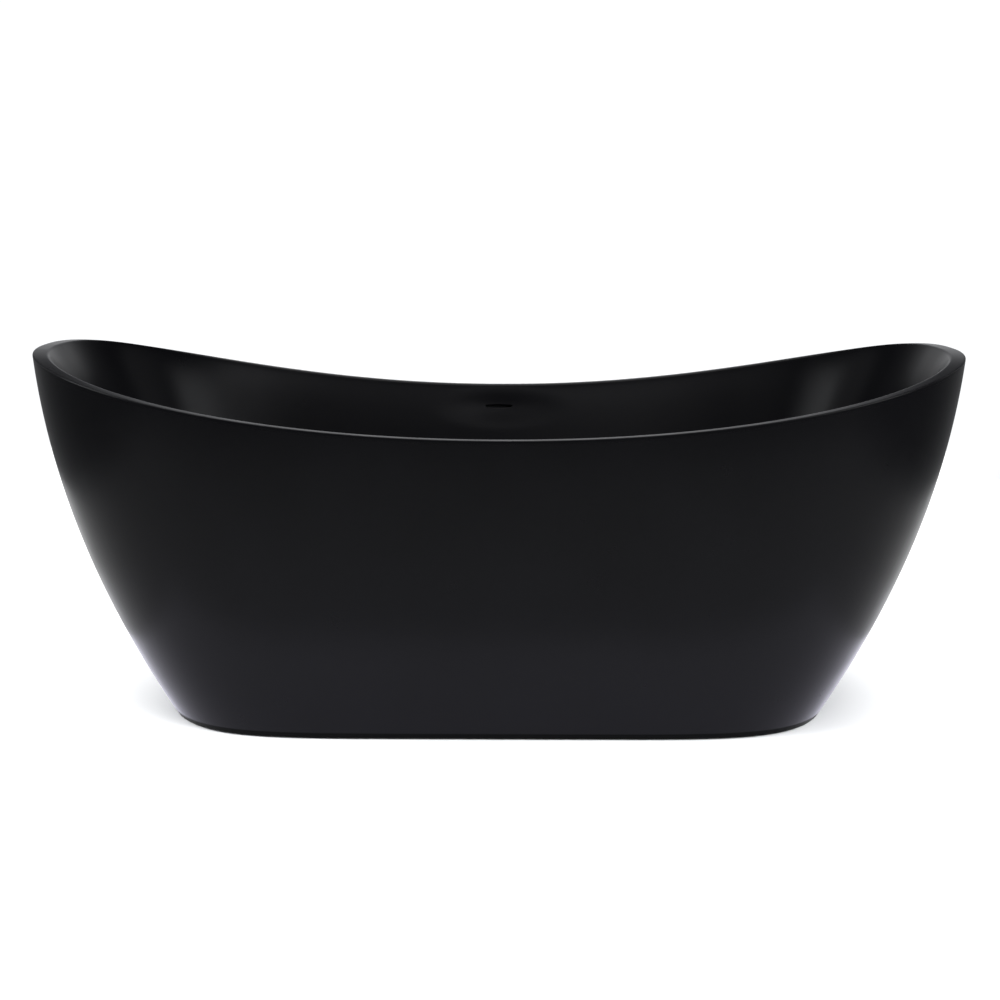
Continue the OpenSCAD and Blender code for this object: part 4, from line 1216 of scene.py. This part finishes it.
# The floor is narrow so that the upper sides of the body reflect little of it
floor_mesh = bpy.data.meshes.new("studio_floor")
floor_half, floor_near, floor_far = 1.75, -1.5, 16.0
floor_mesh.from_pydata(
    [
        (-floor_half, floor_near, 0), (floor_half, floor_near, 0),
        (floor_half, floor_far, 0), (-floor_half, floor_far, 0),
    ],
    [], [(0, 1, 2, 3)],
)
floor_finish = surface("studio_floor", (0.86, 0.86, 0.86), (0.88, 0.88, 0.88), (0.7, 0.8), grain=40,
                       cloud=0.6, height=0.0, specular=0.1)
floor_mesh.materials.append(floor_finish)
floor = bpy.data.objects.new("studio_floor", floor_mesh)
scene.collection.objects.link(floor)
floor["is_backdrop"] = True

world = bpy.data.worlds.new("studio")
world.use_nodes = True
scene.world = world
tree = world.node_tree
background = tree.nodes["Background"]
coords = tree.nodes.new("ShaderNodeTexCoord")
split = add_node(tree, "ShaderNodeSeparateXYZ", Vector=coords.outputs["Generated"])
sky = ramp(
    tree, split.outputs["Z"],
    [
        (0.0, (1.05, 1.06, 1.08)), (0.2, (1.04, 1.05, 1.08)),
        (0.36, (0.32, 0.33, 0.36)), (1.0, (0.24, 0.25, 0.27)),
    ],
)
# Only the part of the sky straight behind the tub is white
behind = map_range(tree, split.outputs["Y"], 0.26, 1.0, 0.9, 0.935)
tree.links.new(sky, background.inputs["Color"])
tree.links.new(behind, background.inputs["Strength"])


def area_light(name, place, target, width, height, power, colour):
    data = bpy.data.lights.new(name, "AREA")
    data.shape = "RECTANGLE"
    data.size, data.size_y = width, height
    data.energy = power
    data.color = colour
    light = bpy.data.objects.new(name, data)
    light.location = place
    light.rotation_euler = (Vector(target) - Vector(place)).to_track_quat("-Z", "Y").to_euler()
    light.visible_camera = False
    scene.collection.objects.link(light)


sun_data = bpy.data.lights.new("broad_key", "SUN")
sun_data.energy = 3.6
sun_data.angle = math.radians(60)
sun = bpy.data.objects.new("broad_key", sun_data)
sun.rotation_euler = (math.radians(-6), math.radians(-4), 0)
sun.visible_camera = False
scene.collection.objects.link(sun)
COOL, FILL, CARD = (0.96, 0.98, 1.0), (0.97, 0.97, 1.0), (0.84, 0.82, 1.0)
# Name, place, target, width, height, power and colour of each light
LIGHTS = (
    ("side_left", (-3.6, -1.3, 1.8), (0, 0, 0.4), 2.1, 2.2, 180, COOL),
    ("side_right", (3.1, -2.5, 1.8), (0, 0, 0.4), 2.4, 2.2, 215, COOL),
    ("end_fill_left", (-3.2, 1.0, 2.3), (0, 0, 0.6), 2.4, 1.8, 15, FILL),
    ("end_fill_right", (3.2, 1.0, 2.3), (0, 0, 0.6), 2.4, 1.8, 15, FILL),
    ("upper_fill_left", (-1.2, -3.6, 3.8), (0, 0, 0.6), 2.0, 2.0, 24, FILL),
    ("upper_fill_right", (1.2, -3.6, 3.8), (0, 0, 0.6), 2.0, 2.0, 66, FILL),
    ("floor_card_near", (0, -0.05, 0.012), (0, -0.049, 1.0), 1.7, 1.0, 9.6, CARD),
    ("floor_card_far", (0, -0.2, 0.011), (0, -0.199, 1.0), 2.2, 1.3, 2.8, CARD),
)
for row in LIGHTS:
    area_light(*row)

CAMERA_DISTANCE = 2.8
CAMERA_HEIGHT = 0.9344
CAMERA_PITCH = 0.1958
CAMERA_ROLL = 0.0047
CAMERA_SIDE = -0.0049
CAMERA_TURN = 0.0026
CAMERA_LENS = 53.604
camera_data = bpy.data.cameras.new("camera")
camera_data.sensor_width = 36.0
camera_data.lens = CAMERA_LENS
camera = bpy.data.objects.new("camera", camera_data)
scene.collection.objects.link(camera)
forward = Vector((CAMERA_TURN, math.cos(CAMERA_PITCH), -math.sin(CAMERA_PITCH))).normalized()
look = forward.to_track_quat("-Z", "Y").to_matrix().to_4x4()
place = Matrix.Translation((CAMERA_SIDE, -CAMERA_DISTANCE, CAMERA_HEIGHT))
camera.matrix_world = place @ look @ Matrix.Rotation(CAMERA_ROLL, 4, "Z")
scene.camera = camera

bpy.context.view_layer.update()
low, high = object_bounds()
{"cad": [list(cad_low), list(cad_high)], "visual": [list(low), list(high)]}
